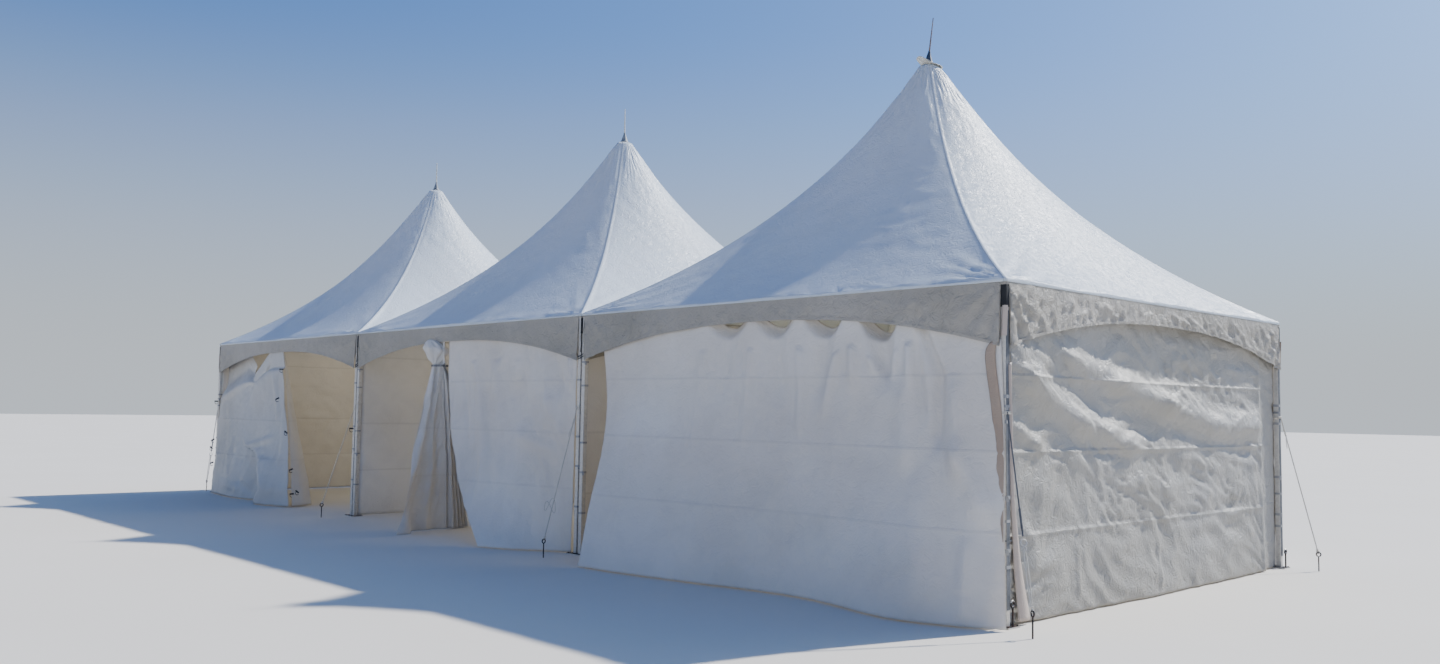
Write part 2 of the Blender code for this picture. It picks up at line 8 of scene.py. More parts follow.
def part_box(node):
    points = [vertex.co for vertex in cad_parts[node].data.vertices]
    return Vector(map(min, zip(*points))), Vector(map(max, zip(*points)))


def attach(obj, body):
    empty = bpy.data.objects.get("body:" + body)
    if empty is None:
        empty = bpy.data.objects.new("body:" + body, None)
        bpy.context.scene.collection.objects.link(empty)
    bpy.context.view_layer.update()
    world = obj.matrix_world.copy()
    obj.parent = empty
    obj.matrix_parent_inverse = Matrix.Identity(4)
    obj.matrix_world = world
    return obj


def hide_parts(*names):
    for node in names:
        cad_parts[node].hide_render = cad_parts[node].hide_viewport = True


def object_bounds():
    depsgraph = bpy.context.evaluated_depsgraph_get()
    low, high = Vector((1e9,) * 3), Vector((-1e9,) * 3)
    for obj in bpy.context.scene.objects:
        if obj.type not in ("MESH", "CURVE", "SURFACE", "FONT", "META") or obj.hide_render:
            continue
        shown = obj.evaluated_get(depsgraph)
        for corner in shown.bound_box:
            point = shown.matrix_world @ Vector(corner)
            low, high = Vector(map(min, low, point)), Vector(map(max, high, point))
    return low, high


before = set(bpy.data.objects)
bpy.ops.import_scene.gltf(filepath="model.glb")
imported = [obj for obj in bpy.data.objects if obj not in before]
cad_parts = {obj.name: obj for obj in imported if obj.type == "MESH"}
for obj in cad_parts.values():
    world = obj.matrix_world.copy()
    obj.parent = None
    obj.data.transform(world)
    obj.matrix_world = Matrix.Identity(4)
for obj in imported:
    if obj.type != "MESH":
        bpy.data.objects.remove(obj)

# A row of three pagoda marquee bays: X runs along the row, -Y is the long front with the
# doorways. Everything is in metres, and every piece sits on the solid model loaded above.

cadLow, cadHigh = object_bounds()
bays = ("left", "middle", "right")
roofBox = {bay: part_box("roof_" + bay) for bay in bays}
bayMiddle = {bay: (roofBox[bay][0][0] + roofBox[bay][1][0]) / 2 for bay in bays}
bayHalf = (roofBox["middle"][1][0] - roofBox["middle"][0][0]) / 2
ringTop = roofBox["middle"][1][2]
eaveHeight = roofBox["middle"][0][2] + 0.010     # the roof's solid is 10 mm deep
wallLow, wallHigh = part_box("back_wall_middle")
wallLine = wallHigh[1]                           # plane of the walls, from the middle of a bay
wallTop = wallHigh[2]
wallFoot = wallLow[2]
plateLow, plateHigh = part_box("leg_middle_front_left")
legLine = -(plateLow[1] + plateHigh[1]) / 2      # middle of the legs, the same way
legHalf = 0.025
pitch = bayMiddle["right"]


def smoothStep(t):
    t = min(max(t, 0.0), 1.0)
    return t * t * (3 - 2 * t)


def follow(knots, at):  # smooth line through (place, value) knots in rising order
    if at <= knots[0][0]:
        return knots[0][1]
    for index in range(len(knots) - 1):
        (x0, y0), (x1, y1) = knots[index], knots[index + 1]
        if at > x1:
            continue
        before, after = knots[max(index - 1, 0)], knots[min(index + 2, len(knots) - 1)]
        span = x1 - x0
        t = (at - x0) / span
        startRise = span * (y1 - before[1]) / (x1 - before[0])
        endRise = span * (after[1] - y0) / (after[0] - x0)
        return ((2 * t ** 3 - 3 * t ** 2 + 1) * y0 + (t ** 3 - 2 * t ** 2 + t) * startRise
                + (3 * t ** 2 - 2 * t ** 3) * y1 + (t ** 3 - t ** 2) * endRise)
    return knots[-1][1]


foldFade = 0.2                                   # a fold fades out over this share of its length


def foldRelief(folds, x, z):  # soft ridges, each (start, end, width, height)
    total = 0.0
    for (startX, startZ), (endX, endZ), width, height in folds:
        runX, runZ = endX - startX, endZ - startZ
        length = math.hypot(runX, runZ)
        share = ((x - startX) * runX + (z - startZ) * runZ) / length ** 2
        across = ((x - startX) * runZ - (z - startZ) * runX) / length
        if not -foldFade <= share <= 1 + foldFade or abs(across) > 3 * width:
            continue
        fadeIn = smoothStep((share + foldFade) / (2 * foldFade))
        fadeOut = smoothStep((1 + foldFade - share) / (2 * foldFade))
        total += height * fadeIn * fadeOut * math.exp(-(across / width) ** 2)
    return total


def creases(x, z, size, reach, tilt, seed):  # crests of folded noise, long one way
    turnX, turnZ = math.cos(tilt), math.sin(tilt)
    spot = Vector(((x * turnX + z * turnZ) / (size * reach), (z * turnX - x * turnZ) / size, seed))
    return 1 - 2.6 * abs(noise.noise(spot))


def creaseLayers(layers, x, z, seed):  # each layer is (height, size, reach, tilt, step of the seed)
    return sum(height * creases(x, z, size, reach, tilt, seed + step)
               for height, size, reach, tilt, step in layers)


def swell(x, z, size, seed):  # slow smooth unevenness, about -1 to 1
    return 1.6 * noise.noise(Vector((x / size, z / size, seed)))


def toLinear(code):  # sRGB hex to the linear colour that shaders take
    parts = [int(code[start:start + 2], 16) / 255 for start in (1, 3, 5)]
    return (*[((p + 0.055) / 1.055) ** 2.4 if p > 0.04045 else p / 12.92 for p in parts], 1.0)


def addNode(tree, kind, settings=None, inputs=None):  # an input takes a socket, a value or a hex colour
    node = tree.nodes.new("ShaderNode" + kind)
    for name, value in (settings or {}).items():
        setattr(node, name, value)
    for name, value in (inputs or {}).items():
        if isinstance(value, bpy.types.NodeSocket):
            tree.links.new(value, node.inputs[name])
        else:
            node.inputs[name].default_value = toLinear(value) if isinstance(value, str) else value
    return node


def startLook(name):
    look = bpy.data.materials.new(name)
    look.use_nodes = True
    tree = look.node_tree
    tree.nodes.clear()
    return look, tree, addNode(tree, "TexCoord").outputs["Object"]


def finishLook(look, surface):
    addNode(look.node_tree, "OutputMaterial", None, {"Surface": surface.outputs[0]})
    return look


print("looks: coated cloth")


def coatedCloth(name, values):
    # PVC-coated polyester, calendered: a satin, slightly uneven skin that lets warm light
    # through, with flat heat-welded laps, handling creases and smears of soil
    look, tree, place = startLook(name)
    flat = addNode(tree, "UVMap", {"uv_map": "UVMap"})
    split = addNode(tree, "SeparateXYZ", None, {"Vector": flat.outputs["UV"]})
    height = split.outputs["Y"]
    # layers over the plain cloth: scale, detail, grain and distortion of the noise, where it starts
    # to show and where it is full, its share and its colour
    layers = (
        (values["patchScale"], 3.0, 0.55, 0.0, 0.38, 0.66, 1.0, values["patch"]),
        (3.1, 8.0, 0.68, 0.6, 0.46, 0.80, values["soilShare"], values["soil"]),   # wide smears of soil
        (9.0, 5.0, 0.6, 1.5, 0.69, 0.76, values["spotShare"], "#6E655C"),         # rubs of 20 to 40 mm
    )
    colour, clouds = values["colour"], []
    for scale, detail, grain, twist, start, full, share, tint in layers:
        cloud = addNode(tree, "TexNoise", None, {
            "Vector": place, "Scale": scale, "Detail": detail, "Roughness": grain, "Distortion": twist})
        mask = addNode(tree, "MapRange", None, {
            "Value": cloud.outputs["Fac"], "From Min": start, "From Max": full, "To Max": share})
        colour = addNode(tree, "Mix", {"data_type": "RGBA"}, {
            0: mask.outputs["Result"], 6: colour, 7: tint}).outputs[2]
        clouds.append(cloud.outputs["Fac"])
    smear = clouds[1]
    # soil that rises from the ground
    splash = addNode(tree, "MapRange", None, {
        "Value": height, "From Min": 0.0, "From Max": 0.30, "To Min": values["footSoil"], "To Max": 0.0})
    splashMask = addNode(tree, "Math", {"operation": "MULTIPLY"}, {0: splash.outputs["Result"], 1: smear})
    colour = addNode(tree, "Mix", {"data_type": "RGBA"}, {
        0: splashMask.outputs[0], 6: colour, 7: "#8D8474"}).outputs[2]
    # 20 mm heat-welded laps across the cloth, and a thin dark line of painted shade along the raised edge
    # of the strip that is welded over each hip: what they run along, where, their half width, where they end
    # and their strength
    lines = [(height, level, 0.008, 0.013, 1.0) for level in values["welds"]]
    if values["stripEdge"]:
        lines.append((split.outputs["X"], values["stripEdge"], 0.001, 0.004, 0.6))
    shown = []
    for along, level, near, far, strength in lines:
        away = addNode(tree, "Math", {"operation": "SUBTRACT"}, {0: along, 1: level})
        size = addNode(tree, "Math", {"operation": "ABSOLUTE"}, {0: away.outputs[0]})
        shown.append(addNode(tree, "MapRange", None, {
            "Value": size.outputs[0], "From Min": near, "From Max": far, "To Min": strength,
            "To Max": 0.0}).outputs["Result"])
    # painted shade: the raised edge of the hip strip, drawn as a thin line in the soil colour
    if values["stripEdge"]:
        colour = addNode(tree, "Mix", {"data_type": "RGBA"}, {
            0: shown.pop(), 6: colour, 7: values["soil"]}).outputs[2]
    seam = shown.pop(0) if shown else None
    for lap in shown:
        seam = addNode(tree, "Math", {"operation": "MAXIMUM"}, {0: seam, 1: lap}).outputs[0]
    if seam is not None:
        share = addNode(tree, "Math", {"operation": "MULTIPLY"}, {0: seam, 1: values["weldTone"]})
        colour = addNode(tree, "Mix", {"data_type": "RGBA"}, {
            0: share.outputs[0], 6: colour, 7: values["soil"]}).outputs[2]
    # handling creases, and the calendered skin over the scrim, drawn at 6 mm
    handled = addNode(tree, "TexNoise", None, {
        "Vector": place, "Scale": 13.0, "Detail": 5.0, "Roughness": 0.62, "Distortion": 0.9})
    folded = addNode(tree, "Math", {"operation": "SUBTRACT"}, {0: handled.outputs["Fac"], 1: 0.5})
    crest = addNode(tree, "Math", {"operation": "ABSOLUTE"}, {0: folded.outputs[0]})
    crestHeight = addNode(tree, "Math", {"operation": "MULTIPLY"}, {
        0: crest.outputs[0], 1: -values["creaseDepth"]})
    skin = addNode(tree, "TexNoise", None, {"Vector": place, "Scale": 160.0, "Detail": 2.0})
    relief = addNode(tree, "Math", {"operation": "MULTIPLY_ADD"}, {
        0: skin.outputs["Fac"], 1: 0.00035, 2: crestHeight.outputs[0]}).outputs[0]
    if seam is not None:
        relief = addNode(tree, "Math", {"operation": "MULTIPLY_ADD"}, {
            0: seam, 1: 0.0012, 2: relief}).outputs[0]
    bump = addNode(tree, "Bump", None, {"Strength": 1.0, "Distance": 1.0, "Height": relief})
    rough = addNode(tree, "MapRange", None, {
        "Value": smear, "From Min": 0.3, "From Max": 0.7,
        "To Min": values["roughness"] - 0.07, "To Max": values["roughness"] + 0.08})
    front = addNode(tree, "BsdfPrincipled", None, {
        "Base Color": colour, "Roughness": rough.outputs["Result"], "IOR": 1.5,
        "Normal": bump.outputs["Normal"]})
    glow = addNode(tree, "Mix", {"data_type": "RGBA", "blend_type": "MULTIPLY"}, {
        0: 1.0, 6: colour, 7: values["glow"]})
    behind = addNode(tree, "BsdfTranslucent", None, {
        "Color": glow.outputs[2], "Normal": bump.outputs["Normal"]})
    cloth = addNode(tree, "MixShader", None, {
        0: values["through"], 1: front.outputs[0], 2: behind.outputs[0]})
    return finishLook(look, cloth)


clothValues = {
    "colour": "#EDEFF1", "patch": "#E8E5DF", "patchScale": 0.55, "soil": "#A9A498",
    "soilShare": 0.16, "spotShare": 0.10, "footSoil": 0.0, "welds": (), "weldTone": 0.16,
    "creaseDepth": 0.010, "roughness": 0.42, "through": 0.16, "glow": "#FFF3DC", "stripEdge": 0.0,
}
roofCloth = coatedCloth("roofCoatedPolyester", {
    **clothValues, "colour": "#E4F0FC", "patch": "#DFEAF5", "soilShare": 0.12, "spotShare": 0.20,
    "creaseDepth": 0.016, "roughness": 0.36, "through": 0.28, "glow": "#FFE9C8", "stripEdge": 0.017})
valanceCloth = coatedCloth("valanceCoatedPolyester", {
    **clothValues, "colour": "#BFB9AE", "patch": "#AEA89B", "soil": "#8F8B7E", "soilShare": 0.34,
    "spotShare": 0.32, "creaseDepth": 0.030, "roughness": 0.46, "through": 0.22})
frontCloth = coatedCloth("frontCurtainCoatedPolyester", {
    **clothValues, "colour": "#ECE9E3", "patch": "#E0D9CF", "welds": (1.76, 1.21, 0.645),
    "footSoil": 0.04, "weldTone": 0.07})
leftCloth = coatedCloth("leftCurtainCoatedPolyester", {
    **clothValues, "colour": "#D2D0CB", "patch": "#C6C2BA", "welds": (1.21, 0.645),
    "soilShare": 0.24, "footSoil": 0.10, "weldTone": 0.10})
# the same white coated cloth as the curtains, made a darker grey as painted shade for the end wall; the back
# walls share it
shadedEndCloth = coatedCloth("endWallPaintedShadePolyester", {
    **clothValues, "colour": "#B4B1AA", "patch": "#A9A59B", "welds": (1.76, 1.21, 0.62),
    "footSoil": 0.25, "creaseDepth": 0.026})
innerCloth = coatedCloth("partitionCoatedPolyester", {
    **clothValues, "colour": "#F0EDE6", "patch": "#E8E3D9", "welds": (2.12, 1.226, 0.60),
    "footSoil": 0.2, "glow": "#FFF0D6"})

print("looks: steel, straps, rope and plastic")


def galvanisedSteel(name, values):
    # hot-dip galvanised steel tube: bluish zinc with soft crystal patches and dull white bloom
    look, tree, place = startLook(name)
    crystals = addNode(tree, "TexVoronoi", None, {"Vector": place, "Scale": values["crystalScale"]})
    bloom = addNode(tree, "TexNoise", None, {
        "Vector": place, "Scale": 7.0, "Detail": 6.0, "Roughness": 0.6})
    crystalTone = addNode(tree, "MapRange", None, {
        "Value": crystals.outputs["Color"], "To Min": 0.0, "To Max": 0.5})
    zinc = addNode(tree, "Mix", {"data_type": "RGBA"}, {
        0: crystalTone.outputs["Result"], 6: values["colour"], 7: values["dark"]})
    bloomMask = addNode(tree, "MapRange", None, {
        "Value": bloom.outputs["Fac"], "From Min": 0.48, "From Max": 0.72, "To Max": 0.55})
    skin = addNode(tree, "Mix", {"data_type": "RGBA"}, {
        0: bloomMask.outputs["Result"], 6: zinc.outputs[2], 7: values["bloom"]})
    rough = addNode(tree, "MapRange", None, {
        "Value": bloom.outputs["Fac"], "From Min": 0.3, "From Max": 0.7, "To Min": 0.32, "To Max": 0.58})
    bump = addNode(tree, "Bump", None, {
        "Strength": 0.35, "Distance": 0.001, "Height": bloom.outputs["Fac"]})
    metal = addNode(tree, "BsdfPrincipled", None, {
        "Base Color": skin.outputs[2], "Metallic": 0.35, "Roughness": rough.outputs["Result"],
        "Normal": bump.outputs["Normal"]})
    return finishLook(look, metal)


def wovenBand(name, values):
    # woven polyester webbing or laid rope: ribs across the run, drawn 5 mm apart so that they
    # show, with painted shade in the grooves between them, faded and soiled along its length
    look, tree, place = startLook(name)
    flat = addNode(tree, "UVMap", {"uv_map": "UVMap"})
    ribs = addNode(tree, "TexWave", {"wave_type": "BANDS", "bands_direction": values["direction"]}, {
        "Vector": flat.outputs["UV"], "Scale": values["ribScale"], "Distortion": 0.4, "Detail": 1.0})
    faded = addNode(tree, "TexNoise", None, {
        "Vector": place, "Scale": 11.0, "Detail": 5.0, "Roughness": 0.6})
    fadeMask = addNode(tree, "MapRange", None, {
        "Value": faded.outputs["Fac"], "From Min": 0.35, "From Max": 0.7})
    tone = addNode(tree, "Mix", {"data_type": "RGBA"}, {
        0: fadeMask.outputs["Result"], 6: values["colour"], 7: values["faded"]})
    # painted shade: the grooves between the ribs are drawn darker
    grooveShadeMask = addNode(tree, "MapRange", None, {
        "Value": ribs.outputs["Fac"], "From Min": 0.0, "From Max": 0.5, "To Min": 0.35, "To Max": 0.0})
    yarn = addNode(tree, "Mix", {"data_type": "RGBA"}, {
        0: grooveShadeMask.outputs["Result"], 6: tone.outputs[2], 7: values["grooveShade"]})
    bump = addNode(tree, "Bump", None, {
        "Strength": 0.7, "Distance": 0.0015, "Height": ribs.outputs["Fac"]})
    band = addNode(tree, "BsdfPrincipled", None, {
        "Base Color": yarn.outputs[2], "Roughness": 0.82, "Normal": bump.outputs["Normal"]})
    return finishLook(look, band)


def blotchedSkin(name, values):
    # one finish that shows in blotches through another
    look, tree, place = startLook(name)
    blotches = addNode(tree, "TexNoise", None, {
        "Vector": place, "Scale": values["scale"], "Detail": values["detail"], "Roughness": values["grain"]})
    mask = addNode(tree, "MapRange", None, {
        "Value": blotches.outputs["Fac"], "From Min": values["from"], "From Max": values["to"],
        "To Max": values["share"]})
    skin = addNode(tree, "Mix", {"data_type": "RGBA"}, {
        0: mask.outputs["Result"], 6: values["colour"], 7: values["blotch"]})
    bump = addNode(tree, "Bump", None, {
        "Strength": values["bump"], "Distance": 0.001, "Height": blotches.outputs["Fac"]})
    shell = addNode(tree, "BsdfPrincipled", None, {
        "Base Color": skin.outputs[2], "Metallic": values["metallic"], "Roughness": values["roughness"],
        "Normal": bump.outputs["Normal"]})
    return finishLook(look, shell)


zincSteel = galvanisedSteel("galvanisedSteel", {
    "colour": "#CFCBC3", "dark": "#A19D96", "bloom": "#DEDAD1", "crystalScale": 55.0})
# bar steel with mill scale: dark, with brown rust where the scale has gone
darkSteel = blotchedSkin("forgedBarSteel", {
    "colour": "#26262A", "blotch": "#5A3B28", "scale": 38.0, "detail": 7.0, "grain": 0.65,
    "from": 0.50, "to": 0.62, "share": 0.7, "bump": 0.6, "metallic": 0.55, "roughness": 0.58})
# moulded plastic gone chalky outdoors: matt, streaked with grey soil
chalky = {"scale": 24.0, "detail": 6.0, "grain": 0.6, "from": 0.4, "to": 0.68, "share": 1.0,
          "bump": 0.4, "metallic": 0.0, "roughness": 0.55}
palePlastic = blotchedSkin("chalkyPolyethylene", {**chalky, "colour": "#D8D6CC", "blotch": "#A19D90"})
greyPlastic = blotchedSkin("greyPolyethylene", {**chalky, "colour": "#7F858C", "blotch": "#5D6268"})
navyPlastic = blotchedSkin("navyPolyethylene", {**chalky, "colour": "#1F2C44", "blotch": "#3A4556"})
brownPlastic = blotchedSkin("weatheredSpikeSleeve", {**chalky, "colour": "#6B5A52", "blotch": "#8C8078"})
darkPlastic = blotchedSkin("blackPolyamide", {**chalky, "colour": "#222327", "blotch": "#3A3B3E"})
webbing = {"ribScale": 32.0, "direction": "X"}
paleWebbing = wovenBand("paleGreyPolyesterWebbing", {
    **webbing, "colour": "#9A9B9D", "faded": "#B4B3B0", "grooveShade": "#6A6B6E"})
blackWebbing = wovenBand("blackPolyesterWebbing", {
    **webbing, "colour": "#17181A", "faded": "#2C2E31", "grooveShade": "#08090A"})
greyWebbing = wovenBand("greyPolyesterWebbing", {
    **webbing, "colour": "#5F6266", "faded": "#808388", "grooveShade": "#33363A"})
whiteRope = wovenBand("whiteLaidRope", {
    "colour": "#E9E5DB", "faded": "#CFC9BC", "grooveShade": "#98917F", "ribScale": 26.0, "direction": "DIAGONAL"})


def newPiece(name, bm, look, crease=None):
    mesh = bpy.data.meshes.new(name)
    bm.to_mesh(mesh)
    bm.free()
    mesh.materials.append(look)
    mesh.shade_smooth()
    if crease:
        mesh.set_sharp_from_angle(angle=math.radians(crease))
    piece = bpy.data.objects.new(name, mesh)
    bpy.context.collection.objects.link(piece)
    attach(piece, "root")
    return piece


def thicken(piece, thickness):
    shell = piece.modifiers.new("clothThickness", "SOLIDIFY")
    shell.thickness = thickness
    shell.offset = 0.0
    shell.use_even_offset = False


def spinRound(profile, steps):
    # a line of (reach, level) points turned into a round shell
    bm = bmesh.new()
    start = [bm.verts.new((reach, 0, level)) for reach, level in profile]
    edges = [bm.edges.new(pair) for pair in zip(start, start[1:])]
    bmesh.ops.spin(bm, geom=start + edges, cent=(0, 0, 0), axis=(0, 0, 1), angle=2 * math.pi,
                   steps=steps, use_merge=True)
    bmesh.ops.remove_doubles(bm, verts=bm.verts, dist=0.0001)
    bmesh.ops.recalc_face_normals(bm, faces=bm.faces)
    return bm


def rowShares(count, drop, welds):  # even rows, with closer ones at each weld
    shares = [step / count for step in range(count + 1)]
    clear = max(0.6 / count, 0.026 / drop)
    for weld in welds:
        at = 1 - weld / drop
        shares = [share for share in shares if abs(share - at) > clear]
        shares += [at + step / drop for step in (-0.022, -0.007, 0.0, 0.007, 0.022)]
    return sorted(shares)


def clothSheet(name, columns, shares, place, flat, look, thickness=0.0018):
    # a grid bent by place(u, v): u runs across, v down; its UV map is the flat cloth in metres
    rows = len(shares) - 1
    bm = bmesh.new()
    bmesh.ops.create_grid(bm, x_segments=columns, y_segments=rows, size=0.5)
    bm.verts.index_update()
    spots = []
    for vert in bm.verts:
        u = vert.co.x + 0.5
        v = shares[round((0.5 - vert.co.y) * rows)]
        spots.append((u, v))
        vert.co = place(u, v)
    uvLayer = bm.loops.layers.uv.new("UVMap")
    for face in bm.faces:
        for loop in face.loops:
            u, v = spots[loop.vert.index]
            loop[uvLayer].uv = (u * flat[0], (1 - v) * flat[1])
    piece = newPiece(name, bm, look)
    thicken(piece, thickness)
    return piece


def weldCusp(z, welds, depth, width):  # a lap stands out as a sharp line
    return sum(depth * math.exp(-abs(z - weld) / width) for weld in welds)


def roundSection(radius, sides=8):
    return [(radius * math.cos(2 * math.pi * side / sides), radius * math.sin(2 * math.pi * side / sides))
            for side in range(sides)]


def flatSection(width, thickness):
    return [(width / 2, thickness / 2), (-width / 2, thickness / 2),
            (-width / 2, -thickness / 2), (width / 2, -thickness / 2)]


def sweep(bm, section, route, across=(0, 0, 1)):
    # draws a flat section along a route; its y side keeps facing across
    uvLayer = bm.loops.layers.uv.verify()
    points = [Vector(point) for point in route]
    across = Vector(across)
    frames, run, runs = [], 0.0, []
    for index, point in enumerate(points):
        before, after = points[max(index - 1, 0)], points[min(index + 1, len(points) - 1)]
        way = (after - before).normalized()
        level = across - way * across.dot(way)
        across = level.normalized() if level.length > 0.001 else way.orthogonal().normalized()
        turned = Matrix((across.cross(way), across, way)).transposed().to_4x4()
        frames.append(Matrix.Translation(point) @ turned)
        run += (point - points[max(index - 1, 0)]).length
        runs.append(run)
    count = len(section)
    rim = [bm.verts.new(frames[0] @ Vector((x, y, 0))) for x, y in section]
    spot = {vert: (0.0, number) for number, vert in enumerate(rim)}
    bm.faces.new(rim)
    edges = [bm.edges.get((rim[number], rim[(number + 1) % count])) for number in range(count)]
    for step in range(1, len(points)):
        made = bmesh.ops.extrude_edge_only(bm, edges=edges)["geom"]
        fresh = [item for item in made if isinstance(item, bmesh.types.BMVert)]
        freshSet = set(fresh)
        for vert in fresh:
            old = next(edge.other_vert(vert) for edge in vert.link_edges if edge.other_vert(vert) in spot
                       and edge.other_vert(vert) not in freshSet)
            spot[vert] = (runs[step], spot[old][1])
        edges = [item for item in made if isinstance(item, bmesh.types.BMEdge)
                 and item.verts[0] in freshSet and item.verts[1] in freshSet]
        bmesh.ops.transform(bm, matrix=frames[step] @ frames[step - 1].inverted(), verts=fresh)
        for face in {face for vert in fresh for face in vert.link_faces}:
            numbers = [spot[loop.vert][1] for loop in face.loops]
            wraps = max(numbers) - min(numbers) > 1
            for loop in face.loops:
                along, number = spot[loop.vert]
                loop[uvLayer].uv = (along, 0.03 * (count if wraps and number == 0 else number) / count)
    bmesh.ops.contextual_create(bm, geom=edges)


print("roofs")
roof = {
    "ringRadius": 0.100, "straight": 0.54, "curve": 2.0, "rounding": 1.39, "bulge": 0.065,
    "sides": {"left": 240, "middle": 288, "right": 384}, "rows": {"left": 52, "middle": 62, "right": 92},
    "strip": 0.015, "stripEdge": 0.019, "stripHeight": 0.0018, "thickness": 0.0014,
    "wrap": ((0.0015, -0.004), (0.0022, -0.012), (0.0015, -0.024)),
    "fans": 26, "fanReach": 0.80, "fanHeight": 0.013,                # folds that fan out of the corners
    "peakHeight": 0.0065, "peakSize": 0.13, "peakTilt": 0.45,        # creases that run up to the ring
    "puckerHeight": 0.013, "puckerSize": 0.085, "puckerReach": 0.11,  # puckers along the eave
    "crumple": 0.0032, "crumpleSize": 0.16, "flat": (3.7, 10.6), "area": 33.0,
}


def roofPoint(s, angle):  # s runs from 0 at the ring to 1 at the eave
    wide, narrow = sorted((abs(math.cos(angle)), abs(math.sin(angle))), reverse=True)
    reach = roof["ringRadius"] + (bayHalf - roof["ringRadius"]) * s
    rounding = (1 - s) ** roof["rounding"]
    radius = reach * ((1 - rounding) / wide + rounding)
    fall = roof["straight"] * (1 - s) + (1 - roof["straight"]) * (1 - s) ** roof["curve"]
    bulge = roof["bulge"] * (1 - (narrow / wide) ** 2) * 4 * s * (1 - s)
    height = eaveHeight - 0.001 + (ringTop - eaveHeight) * fall + bulge
    return Vector((radius * math.cos(angle), radius * math.sin(angle), height))


def roofAngle(column, sides, s):
    # columns run down the hips; the next ones are the welded strip, the rest are evenly spread
    half = sides // 8
    around = column % (2 * half)
    fromHip = abs(around - half)
    reach = roof["ringRadius"] + (bayHalf - roof["ringRadius"]) * s
    if fromHip == 0:
        away = 0.0
    elif fromHip == 1:
        away = roof["strip"]
    else:
        away = roof["stripEdge"] + (reach - roof["stripEdge"]) * (fromHip - 2) / (half - 2)
    clear = 1 - away / reach
    roundness = (1 - s) ** roof["rounding"]
    turn = (1 - roundness) * math.atan(clear) + roundness * clear * math.pi / 4
    quarter = column // (2 * half) * math.pi / 2
    return quarter + (turn if around <= half else math.pi / 2 - turn), away


def roofRelief(s, angle, point, seed):
    insetX, insetY = bayHalf - abs(point.x), bayHalf - abs(point.y)
    fromCorner = math.hypot(insetX, insetY)
    turn = math.atan2(insetY, insetX)
    fromHip = abs(abs(point.x) - abs(point.y)) / math.sqrt(2)
    fromEave = min(insetX, insetY)
    side = math.floor((angle / (2 * math.pi) * 8 + 1) % 8)
    stray = 3.0 * noise.noise(Vector((fromCorner * 1.3, turn * 4, seed + side)))
    fan = math.sin(roof["fans"] * turn + stray)
    relief = (roof["fanHeight"] * fan * smoothStep(fromCorner / 0.25)
              * math.exp(-(fromCorner / roof["fanReach"]) ** 2) * (0.5 + 0.5 * math.exp(-fromHip / 0.3)))
    tilt = roof["peakTilt"] if side % 2 else -roof["peakTilt"]
    nearPeak = smoothStep(1 - s / 0.5)
    relief += roof["peakHeight"] * nearPeak * creases(s * 3.6, angle * 1.4, roof["peakSize"], 1.7, tilt, seed)
    relief += roof["crumple"] * creases(point.x + point.z, point.y + 0.6 * point.z, roof["crumpleSize"], 1.8,
                                        0.6, seed + 5)
    relief += roof["crumple"] * 2.0 * swell(point.x, point.y, 0.9, seed + 9)
    edgeway = point.y if insetX < insetY else point.x
    pucker = creases(edgeway, 0.0, roof["puckerSize"], 1.0, math.pi / 2, seed + side * 3) - 0.4
    atEave = math.exp(-fromEave / roof["puckerReach"]) * smoothStep(fromEave / 0.02)
    relief += roof["puckerHeight"] * pucker * atEave
    hold = smoothStep((fromHip - 0.012) / 0.06) * smoothStep(s / 0.03)
    return relief * hold


def makeRoof(bay, seed):
    # a round disc first: its radius is 1 at the ring, 10 at the eave and more on the wrapped edge
    rows, sides = roof["rows"][bay], roof["sides"][bay]
    radii = [1 + 9 * (step / rows) ** 1.15 for step in range(rows + 1)]
    radii[-1:-1] = [10 - inset for inset in (0.24, 0.17, 0.11, 0.07, 0.035)]
    radii = sorted(radii) + [10.1 + 0.1 * step for step in range(len(roof["wrap"]))]
    bm = spinRound([(radius, 0) for radius in radii], sides)
    seams = {}
    step = 0.002
    for vert in bm.verts:
        radius = math.hypot(vert.co.x, vert.co.y)
        column = round(math.atan2(vert.co.y, vert.co.x) / (2 * math.pi) * sides) % sides
        s = min((radius - 1) / 9, 1.0)
        angle, away = roofAngle(column, sides, s)
        point = roofPoint(s, angle)
        seams[vert] = (away, (1 - s) * 3.5)
        if radius > 10.05:
            out, down = roof["wrap"][round((radius - 10.1) / 0.1)]
            onEnd = abs(point.x) > abs(point.y)
            way = Vector((math.copysign(onEnd, point.x), math.copysign(not onEnd, point.y), 0))
            vert.co = point + way * out + Vector((0, 0, down))
        else:
            inner = max(s - step, 0.0)
            slope = roofPoint(inner + step, angle) - roofPoint(inner, angle)
            sideways = roofPoint(s, angle + step) - roofPoint(s, angle - step)
            normal = sideways.cross(slope).normalized()
            if normal.z < 0:
                normal.negate()
            raised = roof["stripHeight"] if away < 0.5 * (roof["strip"] + roof["stripEdge"]) else 0.0
            vert.co = point + normal * (roofRelief(s, angle, point, seed) + raised)
        vert.co.x += bayMiddle[bay]
    uvLayer = bm.loops.layers.uv.new("UVMap")
    for face in bm.faces:
        for loop in face.loops:
            loop[uvLayer].uv = seams[loop.vert]
    piece = newPiece("roof_cloth_" + bay, bm, roofCloth)
    thicken(piece, roof["thickness"])
    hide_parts("roof_" + bay)


for number, bayName in enumerate(bays):
    makeRoof(bayName, 3.7 * number + 1.0)

